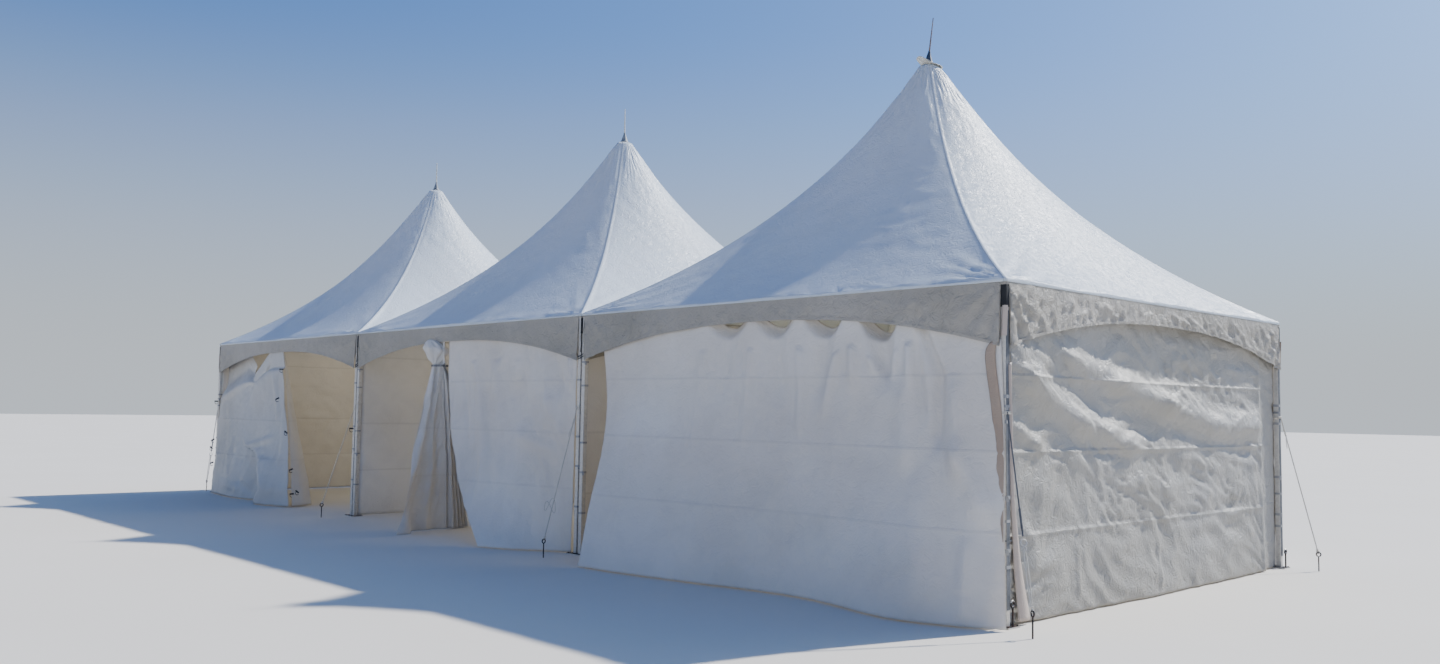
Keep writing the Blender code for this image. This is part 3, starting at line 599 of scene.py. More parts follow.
print("valances")
valance = {
    "cornerDepth": 0.475, "midDepth": 0.190, "arch": 2.3, "cornerGap": 0.046, "band": 0.030,
    "columns": {"left": 100, "middle": 110, "right": 210}, "rows": {"left": 14, "middle": 14, "right": 17},
    "thickness": 0.0016, "flat": (20.0, 0.475), "area": 6.1,
    "wide": (0.010, 0.11, 2.2, 1.2), "fine": (0.006, 0.055, 1.6, 0.9),   # creases: height, size, reach, tilt
    "swell": 0.007, "cornerFan": 0.009, "foldShare": 0.85, "hemCurl": 0.004, "hemWidth": 0.022,
    "strength": 0.85, "nearStrength": 1.25,           # of all its relief, the near end's stronger
    # sharp folds of the near end's valance, as (along, height) from end to end
    "folds": (
        ((-2.46, 2.42), (-2.17, 2.01), 0.016, 0.012), ((-1.91, 2.41), (-1.82, 2.10), 0.013, 0.013),
        ((-1.62, 2.42), (-1.55, 2.16), 0.013, 0.013), ((-1.34, 2.42), (-1.28, 2.19), 0.014, 0.011),
        ((-1.14, 2.38), (-0.82, 2.24), 0.022, 0.011), ((-0.48, 2.41), (-0.48, 2.28), 0.014, 0.010),
        ((0.07, 2.37), (0.61, 2.24), 0.022, 0.012), ((0.36, 2.38), (0.76, 2.23), 0.020, 0.011),
        ((1.97, 2.42), (2.42, 2.02), 0.020, 0.013), ((2.19, 2.43), (2.46, 2.07), 0.018, 0.012),
        ((1.08, 2.25), (2.17, 2.09), 0.022, 0.012), ((-2.20, 2.38), (-1.98, 2.12), 0.018, 0.010),
        ((1.30, 2.41), (1.62, 2.22), 0.020, 0.010), ((-0.90, 2.42), (-0.75, 2.26), 0.012, 0.009),
        ((-2.42, 2.16), (-2.05, 2.11), 0.020, 0.012), ((0.90, 2.41), (1.15, 2.26), 0.016, 0.009),
    ),
}


def valanceDepth(along):
    arch = min(abs(along / (bayHalf - valance["cornerGap"])) ** valance["arch"], 1.0)
    return valance["midDepth"] + (valance["cornerDepth"] - valance["midDepth"]) * arch


def valanceRelief(along, down, depth, side, seed, strength):
    free = smoothStep((down - 0.02) / 0.12)
    toCorner = bayHalf - abs(along)
    height, size, reach, tilt = valance["wide"]
    relief = height * creases(along, down, size, reach, tilt if along > 0 else -tilt, seed + side)
    height, size, reach, tilt = valance["fine"]
    relief += height * creases(along, down, size, reach, tilt * math.copysign(1, along), seed + side + 4)
    relief += valance["swell"] * swell(along, down, 0.5, seed + side + 8)
    fan = math.sin(15 * math.atan2(down + 0.02, toCorner + 0.02) + 2 * swell(along, down, 0.6, seed))
    relief += valance["cornerFan"] * fan * math.exp(-(toCorner / 0.5) ** 2)
    if strength > 1:
        relief += valance["foldShare"] * foldRelief(valance["folds"], along, eaveHeight - 0.01 - down)
    return (strength * relief * (0.12 + 0.88 * free)
            + valance["hemCurl"] * math.exp(-(depth - down) / 0.012))


def makeValance(bay, seed):
    count = valance["columns"][bay]
    edge = bayHalf - valance["cornerGap"]
    top = eaveHeight - 0.0103
    stations = [(-bayHalf, False), (-edge - 0.002, False)]
    stations += [(edge * (2 * step / count - 1), True) for step in range(count + 1)]
    stations += [(edge + 0.002, False)]
    loopSize = 4 * len(stations)

    def place(u, v):
        index = round(u * loopSize) % loopSize
        side, station = divmod(index, len(stations))
        along, full = stations[station]
        depth = valanceDepth(along) if full else valance["band"]
        down = depth * v
        strength = valance["nearStrength" if bay == "right" and side == 1 else "strength"]
        out = valanceRelief(along, down, depth, side, seed, strength) if full else 0.0
        out = max(out, -0.004) if down < 0.06 else out
        spin = Matrix.Rotation(side * math.pi / 2, 3, "Z")
        point = spin @ Vector((along, -bayHalf + 0.0022 - out, top - down))
        return point + Vector((bayMiddle[bay], 0, 0))

    rows = valance["rows"][bay]
    shares = [step / rows for step in range(rows + 1)]
    shares[-1:-1] = [1 - 0.03, 1 - 0.012]
    piece = clothSheet("valance_cloth_" + bay, loopSize, shares, place, valance["flat"],
                       valanceCloth, valance["thickness"])
    bm = bmesh.new()
    bm.from_mesh(piece.data)
    bmesh.ops.remove_doubles(bm, verts=bm.verts, dist=0.00005)
    bm.to_mesh(piece.data)
    bm.free()
    hem = bmesh.new()
    for side in range(4):
        # the doubled hem along the arch, sewn on to the outside
        spin = Matrix.Rotation(side * math.pi / 2, 3, "Z")
        route = []
        for station in range(1, len(stations) - 1, 2):
            u = (side * len(stations) + station) / loopSize
            inner = place(u, 1 - valance["hemWidth"] / valanceDepth(stations[station][0]))
            route.append((place(u, 1.0) + inner) / 2 + spin @ Vector((0, -0.0026, 0)))
        sweep(hem, flatSection(valance["hemWidth"], 0.0022), route[1:], spin @ Vector((0, -1, 0)))
    bmesh.ops.recalc_face_normals(hem, faces=hem.faces)
    hemPiece = newPiece("valance_hem_" + bay, hem, valanceCloth, crease=40)
    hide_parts("valance_" + bay)


for number, bayName in enumerate(bays):
    makeValance(bayName, 2.3 * number + 0.5)

print("back walls, end walls and partitions")
wallSpan = 2 * (legLine - legHalf - 0.010)
plainWall = {
    "size": (70, 56), "welds": (1.76, 1.21, 0.62), "weldCusp": (0.004, 0.030), "swell": (0.014, 0.9),
    "creases": ((0.014, 0.22, 2.4, -0.5, 0), (0.006, 0.10, 1.6, 0.4, 3)),
}
farWall = {**plainWall, "size": (80, 60)}


def plainWallRelief(along, z, seed):
    hang = math.sin(math.pi * min(max((wallTop - z) / wallTop, 0), 1))
    height, size = plainWall["swell"]
    relief = creaseLayers(plainWall["creases"], along, z, seed) + height * swell(along, z, size, seed + 6)
    return relief * hang + weldCusp(z, plainWall["welds"], *plainWall["weldCusp"])


def makeWall(node, middle, outward, seed, look, values=plainWall, reliefOf=plainWallRelief):
    # a wall hung flat from a bay's beam between two legs; outward is the way that it bellies
    stem, side = node.rsplit("_", 1)
    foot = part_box(node)[0][2]
    along = Vector((abs(outward.y), abs(outward.x), 0))
    shares = rowShares(values["size"][1], wallTop, values["welds"])

    def place(u, v):
        way = (u - 0.5) * wallSpan
        z = wallTop + (foot - wallTop) * v
        return middle + along * way + outward * reliefOf(way, z, seed) + Vector((0, 0, z))

    flat = (wallSpan, wallTop)
    piece = clothSheet(f"{stem}_cloth_{side}", values["size"][0], shares, place, flat, look)
    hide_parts(node)


toX, toY = Vector((1, 0, 0)), Vector((0, 1, 0))
for number, bayName in enumerate(bays):
    makeWall("back_wall_" + bayName,
             Vector((bayMiddle[bayName], wallLine - 0.004, 0)), toY, 11.0 + number, shadedEndCloth)

endWall = {
    "size": (200, 110), "welds": (1.76, 1.21, 0.62), "weldCusp": 0.014,
    "recess": 0.075, "billow": 0.055,             # hollow of its middle, belly at its foot
    # the cloth folds back on itself here, with a raised edge and a sunk strip beside it
    "returnFold": 2.03, "returnEdge": (0.022, 0.035), "returnSink": (0.030, 0.1),
    "cornerPull": (0.020, 0.08),
    "creases": {"broad": (0.014, 0.19, 2.6), "middle": (0.011, 0.095, 2.8), "fine": (0.0085, 0.048, 2.6),
                "foot": (0.0022, 0.03, 3.5)},
    "creaseTilt": -0.40, "creaseTurn": 0.22,
    # long ridges from the upper left to the lower right, as the wind has set them
    "folds": (
        ((-2.45, 1.95), (-1.95, 1.80), 0.16, 0.020), ((-1.70, 1.96), (-0.83, 1.76), 0.10, 0.040),
        ((-0.90, 1.78), (0.10, 1.58), 0.11, 0.055), ((0.00, 1.61), (1.05, 1.40), 0.12, 0.055),
        ((1.00, 1.41), (2.00, 1.42), 0.13, 0.050), ((-2.30, 1.78), (-1.39, 1.42), 0.10, 0.045),
        ((-1.45, 1.45), (-0.50, 1.23), 0.10, 0.050), ((-0.55, 1.26), (0.60, 1.20), 0.09, 0.020),
        ((0.10, 1.72), (0.95, 1.58), 0.07, 0.015), ((-2.38, 1.40), (-1.97, 1.23), 0.05, 0.022),
        ((-1.60, 1.17), (-0.84, 1.02), 0.09, 0.022), ((-0.84, 1.04), (-0.10, 0.84), 0.10, 0.026),
        ((-0.15, 0.87), (0.80, 0.76), 0.10, 0.026), ((0.70, 0.78), (2.00, 0.87), 0.11, 0.024),
        ((0.20, 1.12), (1.50, 0.98), 0.07, 0.018), ((1.10, 1.14), (2.00, 1.02), 0.05, 0.020),
        ((-2.30, 1.00), (-1.60, 0.80), 0.10, 0.018), ((-2.28, 0.69), (-2.10, 0.56), 0.05, 0.020),
        ((-2.20, 0.42), (-1.70, 0.32), 0.12, 0.040), ((-1.60, 0.45), (-0.50, 0.40), 0.10, 0.016),
        ((-0.16, 0.45), (-0.21, 0.05), 0.025, 0.018), ((-1.50, 0.50), (-1.50, 0.10), 0.025, 0.012),
        ((0.20, 0.50), (1.60, 0.58), 0.07, 0.018), ((0.60, 0.30), (1.80, 0.42), 0.10, 0.022),
    ),
}


def endWallRelief(along, z, seed):
    hang = smoothStep((wallTop - z) / 0.3)
    edge = 1 - min(abs(along) / (wallSpan / 2), 1.0) ** 2
    past = along - endWall["returnFold"]
    main = smoothStep(-past / 0.05)
    low = smoothStep((0.75 - z) / 0.25)
    tilt = endWall["creaseTilt"] + endWall["creaseTurn"] * swell(along, z, 1.1, seed + 12)
    rough = 0.35 + 0.65 * smoothStep(0.5 + 1.3 * swell(along, z, 0.55, seed + 14))

    def layer(name, turn, step):
        height, size, reach = endWall["creases"][name]
        return height * creases(along, z, size, reach, turn, seed + step)

    relief = foldRelief(endWall["folds"], along, z) * main * (0.85 + 0.80 * smoothStep((z - 0.9) / 0.4))
    relief += layer("broad", tilt, 0) * hang * (0.25 + 0.75 * main)
    relief += layer("middle", tilt - 0.05, 2) * hang * rough * (1 - 0.75 * low)
    relief += layer("fine", tilt - 0.12, 4) * main * hang * rough * (1 - 0.4 * low)
    relief += layer("foot", math.pi / 2, 5) * main * smoothStep((0.30 - z) / 0.1)
    relief += weldCusp(z, endWall["welds"], 0.012 * main + 0.002, endWall["weldCusp"])
    relief += endWall["billow"] * smoothStep(1 - z / 0.5) * edge * (0.8 + 0.4 * swell(along, 0, 0.9, seed))
    height, width = endWall["returnEdge"]
    relief += height * math.exp(-(past / width) ** 2) * hang
    height, width = endWall["returnSink"]
    relief -= height * smoothStep(past / width) * hang
    height, width = endWall["cornerPull"]
    relief -= height * math.exp(-(along + 2.45) / width) * hang
    return relief - endWall["recess"] * edge * smoothStep((z - 0.5) / 1.3)


makeWall("end_wall_right", Vector((pitch + wallLine - 0.003, 0, 0)), toX, 21.0,
         shadedEndCloth, endWall, endWallRelief)
makeWall("end_wall_left", Vector((-pitch - wallLine + 0.004, 0, 0)), -toX, 27.0,
         innerCloth, farWall)
for word, sign in (("left", -1), ("right", 1)):
    makeWall("partition_" + word, Vector((sign * (wallLine - 0.004), 0, 0)), toX * sign,
             31.0 + sign, innerCloth)

print("front curtains")
curtainLine = -(wallLine + 0.004)                 # front face of the curtains' heading
openBelow = eaveHeight - valance["cornerDepth"] + 0.03
hanging = {
    "clear": 0.012, "headFade": 0.25,             # gap behind the valance, where creases fade at the head
    "droopReach": 0.65,                           # how far down a drooping head pulls the cloth
    "room": 0.30, "roomTop": 0.12, "roomFade": 0.45,   # what folds gain below the valance
}
headRoom = bayHalf - hanging["clear"] + curtainLine    # what a fold has behind the valance


def flare(z):  # how far a curtain has swung out: 0 behind the valance, 1 at the ground
    return 2 * smoothStep(0.5 * min((openBelow - z) / openBelow, 1.0))


def makeCurtain(name, node, values, seed, look=frontCloth, droopOf=None, reliefOf=None):
    # hung between two edge lines, each given as (height, place) knots from the ground up
    shares = rowShares(values["rows"], wallTop, values["welds"])

    def place(u, v):
        z = wallTop + (wallFoot - wallTop) * v
        x = follow(values["left"], z) * (1 - u) + follow(values["right"], z) * u
        drop = droopOf(x) * max(0.0, 1 - (wallTop - z) / hanging["droopReach"]) if droopOf else 0.0
        hang = smoothStep((wallTop - z) / hanging["headFade"])
        out = foldRelief(values["folds"], x, z) + creaseLayers(values["creases"], x, z, seed) * hang
        out += weldCusp(z, values["welds"], *values["weldCusp"]) + (reliefOf(x, z, seed) if reliefOf else 0.0)
        below = smoothStep((openBelow + hanging["roomTop"] - z) / hanging["roomFade"])
        room = headRoom + hanging["room"] * below
        out = room * math.tanh(out / room) if out > 0 else out
        y = curtainLine + (follow(values["feet"], u) - curtainLine) * flare(z) - out
        if z > openBelow:
            y = max(y, -bayHalf + hanging["clear"])
        elif x > pitch + legLine - legHalf - 0.04:
            y = min(y, -legLine - legHalf - 0.008)
        return Vector((x, y, z - drop))

    flat = (values["width"], wallTop)
    piece = clothSheet(name, values["columns"], shares, place, flat, look)
    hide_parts(node)


rightCurtain = {
    "columns": 190, "rows": 92, "welds": (1.76, 1.21, 0.645), "width": 4.75, "frame": "eave_frame_right",
    "left": ((0.0, 3.29), (0.54, 3.165), (0.93, 3.10), (1.40, 3.01), (1.62, 2.965), (2.04, 2.87),
             (2.39, 2.80)),
    "right": ((0.0, 7.585), (0.33, 7.56), (0.66, 7.535), (0.91, 7.525), (1.52, 7.495), (1.87, 7.480),
              (2.39, 7.46)),
    "feet": ((0.0, -3.06), (0.19, -2.98), (0.34, -2.87), (0.48, -2.735), (0.60, -2.715), (0.80, -2.90),
             (0.92, -2.79), (1.0, -2.63)),
    "hooks": (3.00, 3.70, 4.35, 4.95, 5.50, 6.07, 6.63, 7.40),   # where the heading is tied to the beam
    "droops": (0.02, 0.06, 0.175, 0.190, 0.215, 0.275, 0.08), "lean": 0.55, "belly": (0.026, 1.0),
    "weldCusp": (0.0025, 0.018),
    "creases": ((0.0045, 0.19, 4.0, math.pi / 2 - 0.08, 0), (0.0025, 0.10, 1.6, 0.3, 3)),
    "folds": (
        # cones of cloth that fan down from the hooks, and the pockets between them
        ((6.00, 2.34), (5.82, 1.50), 0.045, 0.0336), ((6.07, 2.42), (6.12, 1.70), 0.050, 0.0476),
        ((6.14, 2.34), (6.37, 1.76), 0.040, 0.0364), ((6.36, 2.30), (6.42, 1.72), 0.085, -0.07),
        ((6.57, 2.30), (6.49, 1.78), 0.035, 0.0364), ((6.64, 2.42), (6.68, 1.70), 0.048, 0.0504),
        ((6.70, 2.30), (6.93, 1.77), 0.035, -0.0504), ((6.93, 1.78), (6.95, 1.25), 0.050, -0.0532),
        ((6.67, 2.20), (6.82, 1.45), 0.032, -0.0308), ((6.62, 1.68), (6.70, 1.10), 0.100, 0.042),
        ((7.08, 1.70), (7.16, 1.05), 0.080, 0.042), ((7.12, 1.25), (7.42, 0.75), 0.100, 0.0476),
        ((5.50, 2.42), (5.58, 1.20), 0.055, 0.0336), ((5.25, 2.30), (5.30, 1.60), 0.080, -0.0336),
        ((4.95, 2.42), (4.92, 1.10), 0.060, 0.028), ((5.80, 2.30), (5.72, 1.60), 0.070, -0.0364),
        ((4.35, 2.42), (4.30, 1.00), 0.070, 0.0224), ((4.65, 2.30), (4.62, 1.60), 0.080, -0.0252),
        ((5.95, 1.60), (6.05, 0.20), 0.120, 0.0252), ((5.30, 1.40), (5.35, 0.10), 0.140, 0.0224),
        ((6.85, 1.00), (7.00, 0.10), 0.120, 0.0336), ((3.45, 1.80), (3.70, 0.10), 0.120, 0.0224),
        ((4.40, 1.20), (4.60, 0.10), 0.140, 0.0196), ((7.28, 0.60), (7.32, 0.05), 0.050, 0.028),
    ),
}


def rightDroop(x):  # how far the heading sags between two hooks
    hooks = rightCurtain["hooks"]
    for start, end, droop in zip(hooks, hooks[1:], rightCurtain["droops"]):
        if start <= x <= end:
            return droop * math.sin(math.pi * (x - start) / (end - start)) ** 1.3
    return 0.0


def rightCurtainRelief(x, z, seed):
    # the sagging head leans in, and the cloth bellies below it
    height, size = rightCurtain["belly"]
    belly = height * swell(x, z, size, seed + 6) * smoothStep((2.0 - z) / 0.5)
    lean = rightCurtain["lean"] * rightDroop(x) * smoothStep((z - (wallTop - 0.17)) / 0.17)
    return belly * (0.5 + 0.5 * smoothStep(1 - z / 1.8)) - lean


makeCurtain("front_curtain_cloth_right", "front_curtain_right", rightCurtain, 41.0, droopOf=rightDroop,
            reliefOf=rightCurtainRelief)

middleCurtain = {
    "columns": 130, "rows": 88, "welds": (1.76, 1.21, 0.645), "width": 2.75, "frame": "eave_frame_middle",
    "left": ((0.0, 1.45), (0.506, 0.76), (0.95, 0.34), (1.25, 0.10), (1.78, -0.11), (2.25, -0.15),
             (2.39, -0.16)),
    "right": ((0.0, 2.40), (2.39, 2.42)),
    "feet": ((0.0, -2.985), (0.35, -2.86), (0.65, -2.66), (1.0, -2.48)), "weldCusp": (0.003, 0.020),
    "creases": ((0.006, 0.16, 3.4, math.pi / 2 + 0.25, 0), (0.003, 0.09, 1.6, 0.3, 3)),
    "folds": (
        ((0.35, 2.20), (1.05, 0.60), 0.08, 0.030), ((0.10, 2.10), (0.55, 1.05), 0.05, -0.020),
        ((0.80, 2.10), (1.45, 0.40), 0.11, 0.026), ((1.30, 2.10), (1.75, 0.20), 0.11, 0.024),
        ((1.85, 2.10), (2.00, 0.20), 0.10, 0.022), ((2.20, 2.00), (2.25, 0.30), 0.06, 0.020),
        ((1.20, 1.20), (1.60, 0.10), 0.07, -0.018), ((0.85, 2.22), (0.95, 2.00), 0.08, -0.030),
        ((1.95, 2.20), (2.15, 1.65), 0.16, -0.045), ((1.30, 1.75), (1.60, 1.30), 0.16, -0.034),
        ((1.90, 1.60), (2.25, 1.15), 0.10, 0.034), ((2.30, 2.15), (2.33, 1.70), 0.045, 0.040),
        ((1.45, 1.18), (2.15, 1.02), 0.07, 0.022), ((0.95, 0.95), (2.30, 0.30), 0.10, 0.012),
    ),
}
makeCurtain("front_curtain_cloth_middle", "front_curtain_middle", middleCurtain, 47.0)

leftCurtain = {
    "columns": 120, "rows": 88, "welds": (1.21, 0.645), "width": 3.1, "frame": "eave_frame_left",
    "left": ((0.0, -7.45), (0.86, -7.414), (1.52, -7.407), (2.39, -7.41)),
    "right": ((0.0, -4.118), (0.877, -4.427), (1.398, -4.641), (2.192, -4.934), (2.39, -4.99)),
    "feet": ((0.0, -2.56), (0.25, -2.66), (0.45, -2.66), (0.60, -2.54), (0.80, -2.74), (1.0, -2.62)),
    "weldCusp": (0.003, 0.020),
    "creases": ((0.008, 0.20, 2.4, math.pi / 2 - 0.3, 0), (0.0045, 0.10, 1.6, 0.4, 3)),
    "dip": (-6.62, -6.02, -5.30), "dipDepth": 0.46,   # where its untied head hangs down
    # edge of the part that is folded back over the rest, as (height, place), and how it stands out
    "edge": ((0.0, -5.10), (0.11, -5.04), (0.23, -4.86), (0.40, -5.02), (0.58, -5.20), (0.70, -5.42),
             (0.82, -5.86), (0.99, -5.98), (1.35, -5.99), (1.60, -5.86), (1.83, -5.68), (2.18, -5.34)),
    "overhang": 0.14, "crevice": (0.100, 0.055), "facet": 0.11,
    "folds": (
        # creases of the part that hangs over the rest
        ((-5.80, 0.83), (-4.95, 0.96), 0.040, 0.030), ((-5.26, 0.72), (-4.82, 0.69), 0.045, -0.030),
        ((-5.10, 0.62), (-4.95, 0.40), 0.055, 0.024), ((-4.92, 0.40), (-4.70, 0.22), 0.055, 0.024),
        ((-5.12, 1.95), (-4.85, 1.25), 0.070, 0.035), ((-4.72, 1.60), (-4.55, 0.60), 0.060, 0.025),
        # the facet that leans back from the left corner to the dip
        ((-6.00, 1.93), (-6.45, 1.77), 0.050, 0.020), ((-6.45, 1.77), (-7.25, 1.56), 0.060, 0.030),
        ((-6.90, 1.40), (-6.60, 0.30), 0.120, 0.018), ((-6.30, 1.50), (-6.40, 0.10), 0.120, 0.016),
        ((-7.20, 1.90), (-7.25, 0.40), 0.100, 0.012), ((-6.80, 0.20), (-6.00, 0.16), 0.060, 0.020),
        ((-6.20, 0.30), (-5.70, 0.12), 0.050, -0.018),
    ),
}


def leftDroop(x):
    start, dip, end = leftCurtain["dip"]
    share = min((x - start) / (dip - start), (end - x) / (end - dip))
    return leftCurtain["dipDepth"] * max(share, 0.0) ** 0.9


def leftCurtainRelief(x, z, seed):
    past = x - follow(leftCurtain["edge"], z)
    depth, width = leftCurtain["crevice"]
    facet = smoothStep((z - (1.57 + 0.29 * (x + 7.25))) / 0.30) * smoothStep((-6.0 - x) / 0.25)
    return (leftCurtain["overhang"] * smoothStep((past + 0.030) / 0.060) * (1 - 0.7 * smoothStep(past / 0.9))
            - depth * math.exp(-((past + 0.080) / width) ** 2) * smoothStep((2.2 - z) / 0.2)
            - leftCurtain["facet"] * facet)


makeCurtain("front_curtain_cloth_left", "front_curtain_left", leftCurtain, 53.0, leftCloth, leftDroop,
            leftCurtainRelief)

flap = {
    "columns": 24, "rows": 70, "width": 0.42, "creaseFoot": -2.615, "bow": 0.030, "wave": 0.010,
    "outer": ((0.0, -4.30), (0.207, -4.361), (0.794, -4.625), (1.398, -4.91), (2.208, -5.249), (2.39, -5.33)),
    "outerDepth": ((0.0, -2.25), (1.0, -2.29), (2.39, -2.34)),
}


def placeFlap(u, v):
    z = wallTop + (wallFoot + 0.01 - wallTop) * v
    free = max(0.0, (openBelow - z) / openBelow)
    creaseX = follow(leftCurtain["right"], z)
    creaseY = curtainLine + (flap["creaseFoot"] - curtainLine) * free
    outerX, outerY = follow(flap["outer"], z), follow(flap["outerDepth"], z)
    bow = flap["bow"] * math.sin(math.pi * u) * smoothStep((wallTop - z) / 0.3)
    wave = flap["wave"] * creases(u * 0.4, z, 0.15, 2.5, math.pi / 2, 59.0) * u
    return Vector((creaseX + (outerX - creaseX) * u + bow + wave, creaseY + (outerY - creaseY) * u, z))


flapPiece = clothSheet("front_flap_cloth_left", flap["columns"], rowShares(flap["rows"], wallTop, ()),
                       placeFlap, (flap["width"], wallTop), frontCloth)
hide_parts("front_flap_left")

print("tied curtain")
tied = {
    "columns": 176, "rows": 84, "width": 2.43, "welds": (0.645, 1.21), "knotFoot": 1.97,
    # wide lobes as far as the share called front, then close pleats that hang behind them
    "front": 0.70, "lobes": 2, "pleats": 6, "lobeDepth": 0.036, "pleatDepth": 0.064,
    # plan of the cloth at the ground, from the front edge to the back one
    "foot": ((0.0, -0.025, -3.14), (0.12, -0.07, -3.02), (0.28, -0.21, -2.86), (0.42, -0.31, -2.70),
             (0.55, -0.33, -2.56), (0.68, -0.31, -2.40), (0.84, -0.39, -2.17), (1.0, -0.43, -1.99)),
    "neck": (-0.32, -2.50), "neckHalf": 0.085, "across": (0.69, 0.72), "wrinkle": 0.010,
}
tiedX = [(share, x) for share, x, y in tied["foot"]]
tiedY = [(share, y) for share, x, y in tied["foot"]]
towardsCamera, cameraRight = Vector((0.72, -0.69, 0)), Vector((0.72, 0.69, 0))   # level ways of the view


def placeTied(u, v):
    z = wallTop + (wallFoot - wallTop) * v
    neckX, neckY = tied["neck"]
    wayX, wayY = tied["across"]

    def broad(at):  # the cloth's way across, without its pleats
        share = max(0.0, (tied["knotFoot"] - z) / tied["knotFoot"]) ** 0.92
        reach = tied["neckHalf"] * (1 - 0.45 * smoothStep((z - tied["knotFoot"]) / 0.1)) * (2 * at - 1)
        neck = Vector((neckX + wayX * reach, neckY + wayY * reach, z))
        foot = Vector((follow(tiedX, at), follow(tiedY, at), z))
        return neck.lerp(foot, share), share

    point, share = broad(u)
    way = broad(min(u + 0.01, 1.0))[0] - broad(max(u - 0.01, 0.0))[0]
    across = Vector((way.y, -way.x, 0)).normalized()
    behind = smoothStep((u - tied["front"]) / 0.05)
    sway = 0.35 * swell(u * 2, z, 0.9, 62.0)
    lobe = math.sin(2 * math.pi * (tied["lobes"] * u / tied["front"] + sway) - 0.9)
    pleat = math.sin(2 * math.pi * tied["pleats"] * (u - tied["front"]) / (1 - tied["front"]) + sway)
    lobeDepth = tied["lobeDepth"] * (0.45 + 0.55 * share) * (1 - behind)
    wrinkle = tied["wrinkle"] * creases(u * 1.6, z, 0.17, 2.0, 0.9, 63.0) * smoothStep(share / 0.2)
    point += across * (lobeDepth * lobe + tied["pleatDepth"] * behind * pleat + wrinkle)
    if z > tied["knotFoot"]:
        point.y = max(point.y, -bayHalf + 0.014)
    return point


tiedPiece = clothSheet("tied_curtain_cloth_middle", tied["columns"],
                       rowShares(tied["rows"], wallTop, tied["welds"]), placeTied,
                       (tied["width"], wallTop), frontCloth)
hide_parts("front_tied_curtain_middle")

knot = {
    "middle": (-0.385, -2.545, 2.115), "height": 0.160, "halfWidth": 0.145, "halfDepth": 0.080,
    "roundness": 0.42, "pleats": 7, "pleatDepth": 0.09, "twist": 3.5,
    "footTaper": 0.62, "headTaper": 0.22, "crush": 0.20, "crumple": 0.07,
}


def makeKnot():
    # the foot of the curtain, rolled up and tucked into its own tie
    bm = bmesh.new()
    bmesh.ops.create_uvsphere(bm, u_segments=84, v_segments=52, radius=1.0, calc_uvs=True)
    screenRight = Vector((*tied["across"], 0))
    for vert in bm.verts:
        angle = math.atan2(vert.co.y, vert.co.x)
        level = vert.co.z
        girth = max(1 - level * level, 0.0) ** knot["roundness"]
        pleat = math.sin(knot["pleats"] * angle + knot["twist"] * level)
        pleats = 1 + knot["pleatDepth"] * pleat * (0.4 + 0.6 * smoothStep(0.5 - level / 2))
        taper = (1 - knot["footTaper"] * smoothStep((0.35 - level) / 1.35)
                 - knot["headTaper"] * smoothStep((level - 0.3) / 0.7))
        crush = 1 + knot["crush"] * swell(2 * math.cos(angle), 2 * math.sin(angle) + level, 0.9, 65.0)
        crush += knot["crumple"] * creases(2 * angle / math.pi, level, 0.45, 1.8, 0.9, 67.0)
        reach = girth * pleats * taper * crush
        point = (screenRight * math.cos(angle) * reach * knot["halfWidth"]
                 + towardsCamera * math.sin(angle) * reach * knot["halfDepth"])
        lean = screenRight * (0.03 - 0.075 * smoothStep(level / 1.2))
        vert.co = Vector(knot["middle"]) + point + lean + Vector((0, 0, level * knot["height"]))
    bmesh.ops.recalc_face_normals(bm, faces=bm.faces)
    return newPiece("tied_curtain_knot_middle", bm, frontCloth)


knotPiece = makeKnot()

print("straps, loops, ties and ropes")


def ringRoute(middle, radius, steps, first, second, start=0.0, turns=1.0):
    # points on a round bend in the plane of two directions, start and turns in full turns
    first, second = Vector(first), Vector(second)
    route = []
    for step in range(steps + 1):
        angle = 2 * math.pi * (start + turns * step / steps)
        route.append(Vector(middle) + radius * (first * math.cos(angle) + second * math.sin(angle)))
    return route


def finishFittings(name, bm, look):
    bmesh.ops.recalc_face_normals(bm, faces=bm.faces)
    return newPiece(name, bm, look, crease=40)


def legLoop(bm, middle, z, section, lift, tail=0.0):
    # a band or cord round a square leg; the section's first side lies upright
    reach, corner = legHalf + lift, 0.006
    route = []
    for turn in range(4):
        away = Matrix.Rotation(turn * math.pi / 2, 3, "Z")
        for x, y in ((reach, -reach + corner), (reach, reach - corner), (reach - corner, reach)):
            route.append(middle + away @ Vector((x, y, 0)) + Vector((0, 0, z)))
    route.append(route[0] + Vector((0.0008, 0, 0)))
    if tail:
        route.append(route[0] + Vector((0.004, 0.004, -tail)))
    sweep(bm, [(y, x) for x, y in section], route, (0, 0, 1))


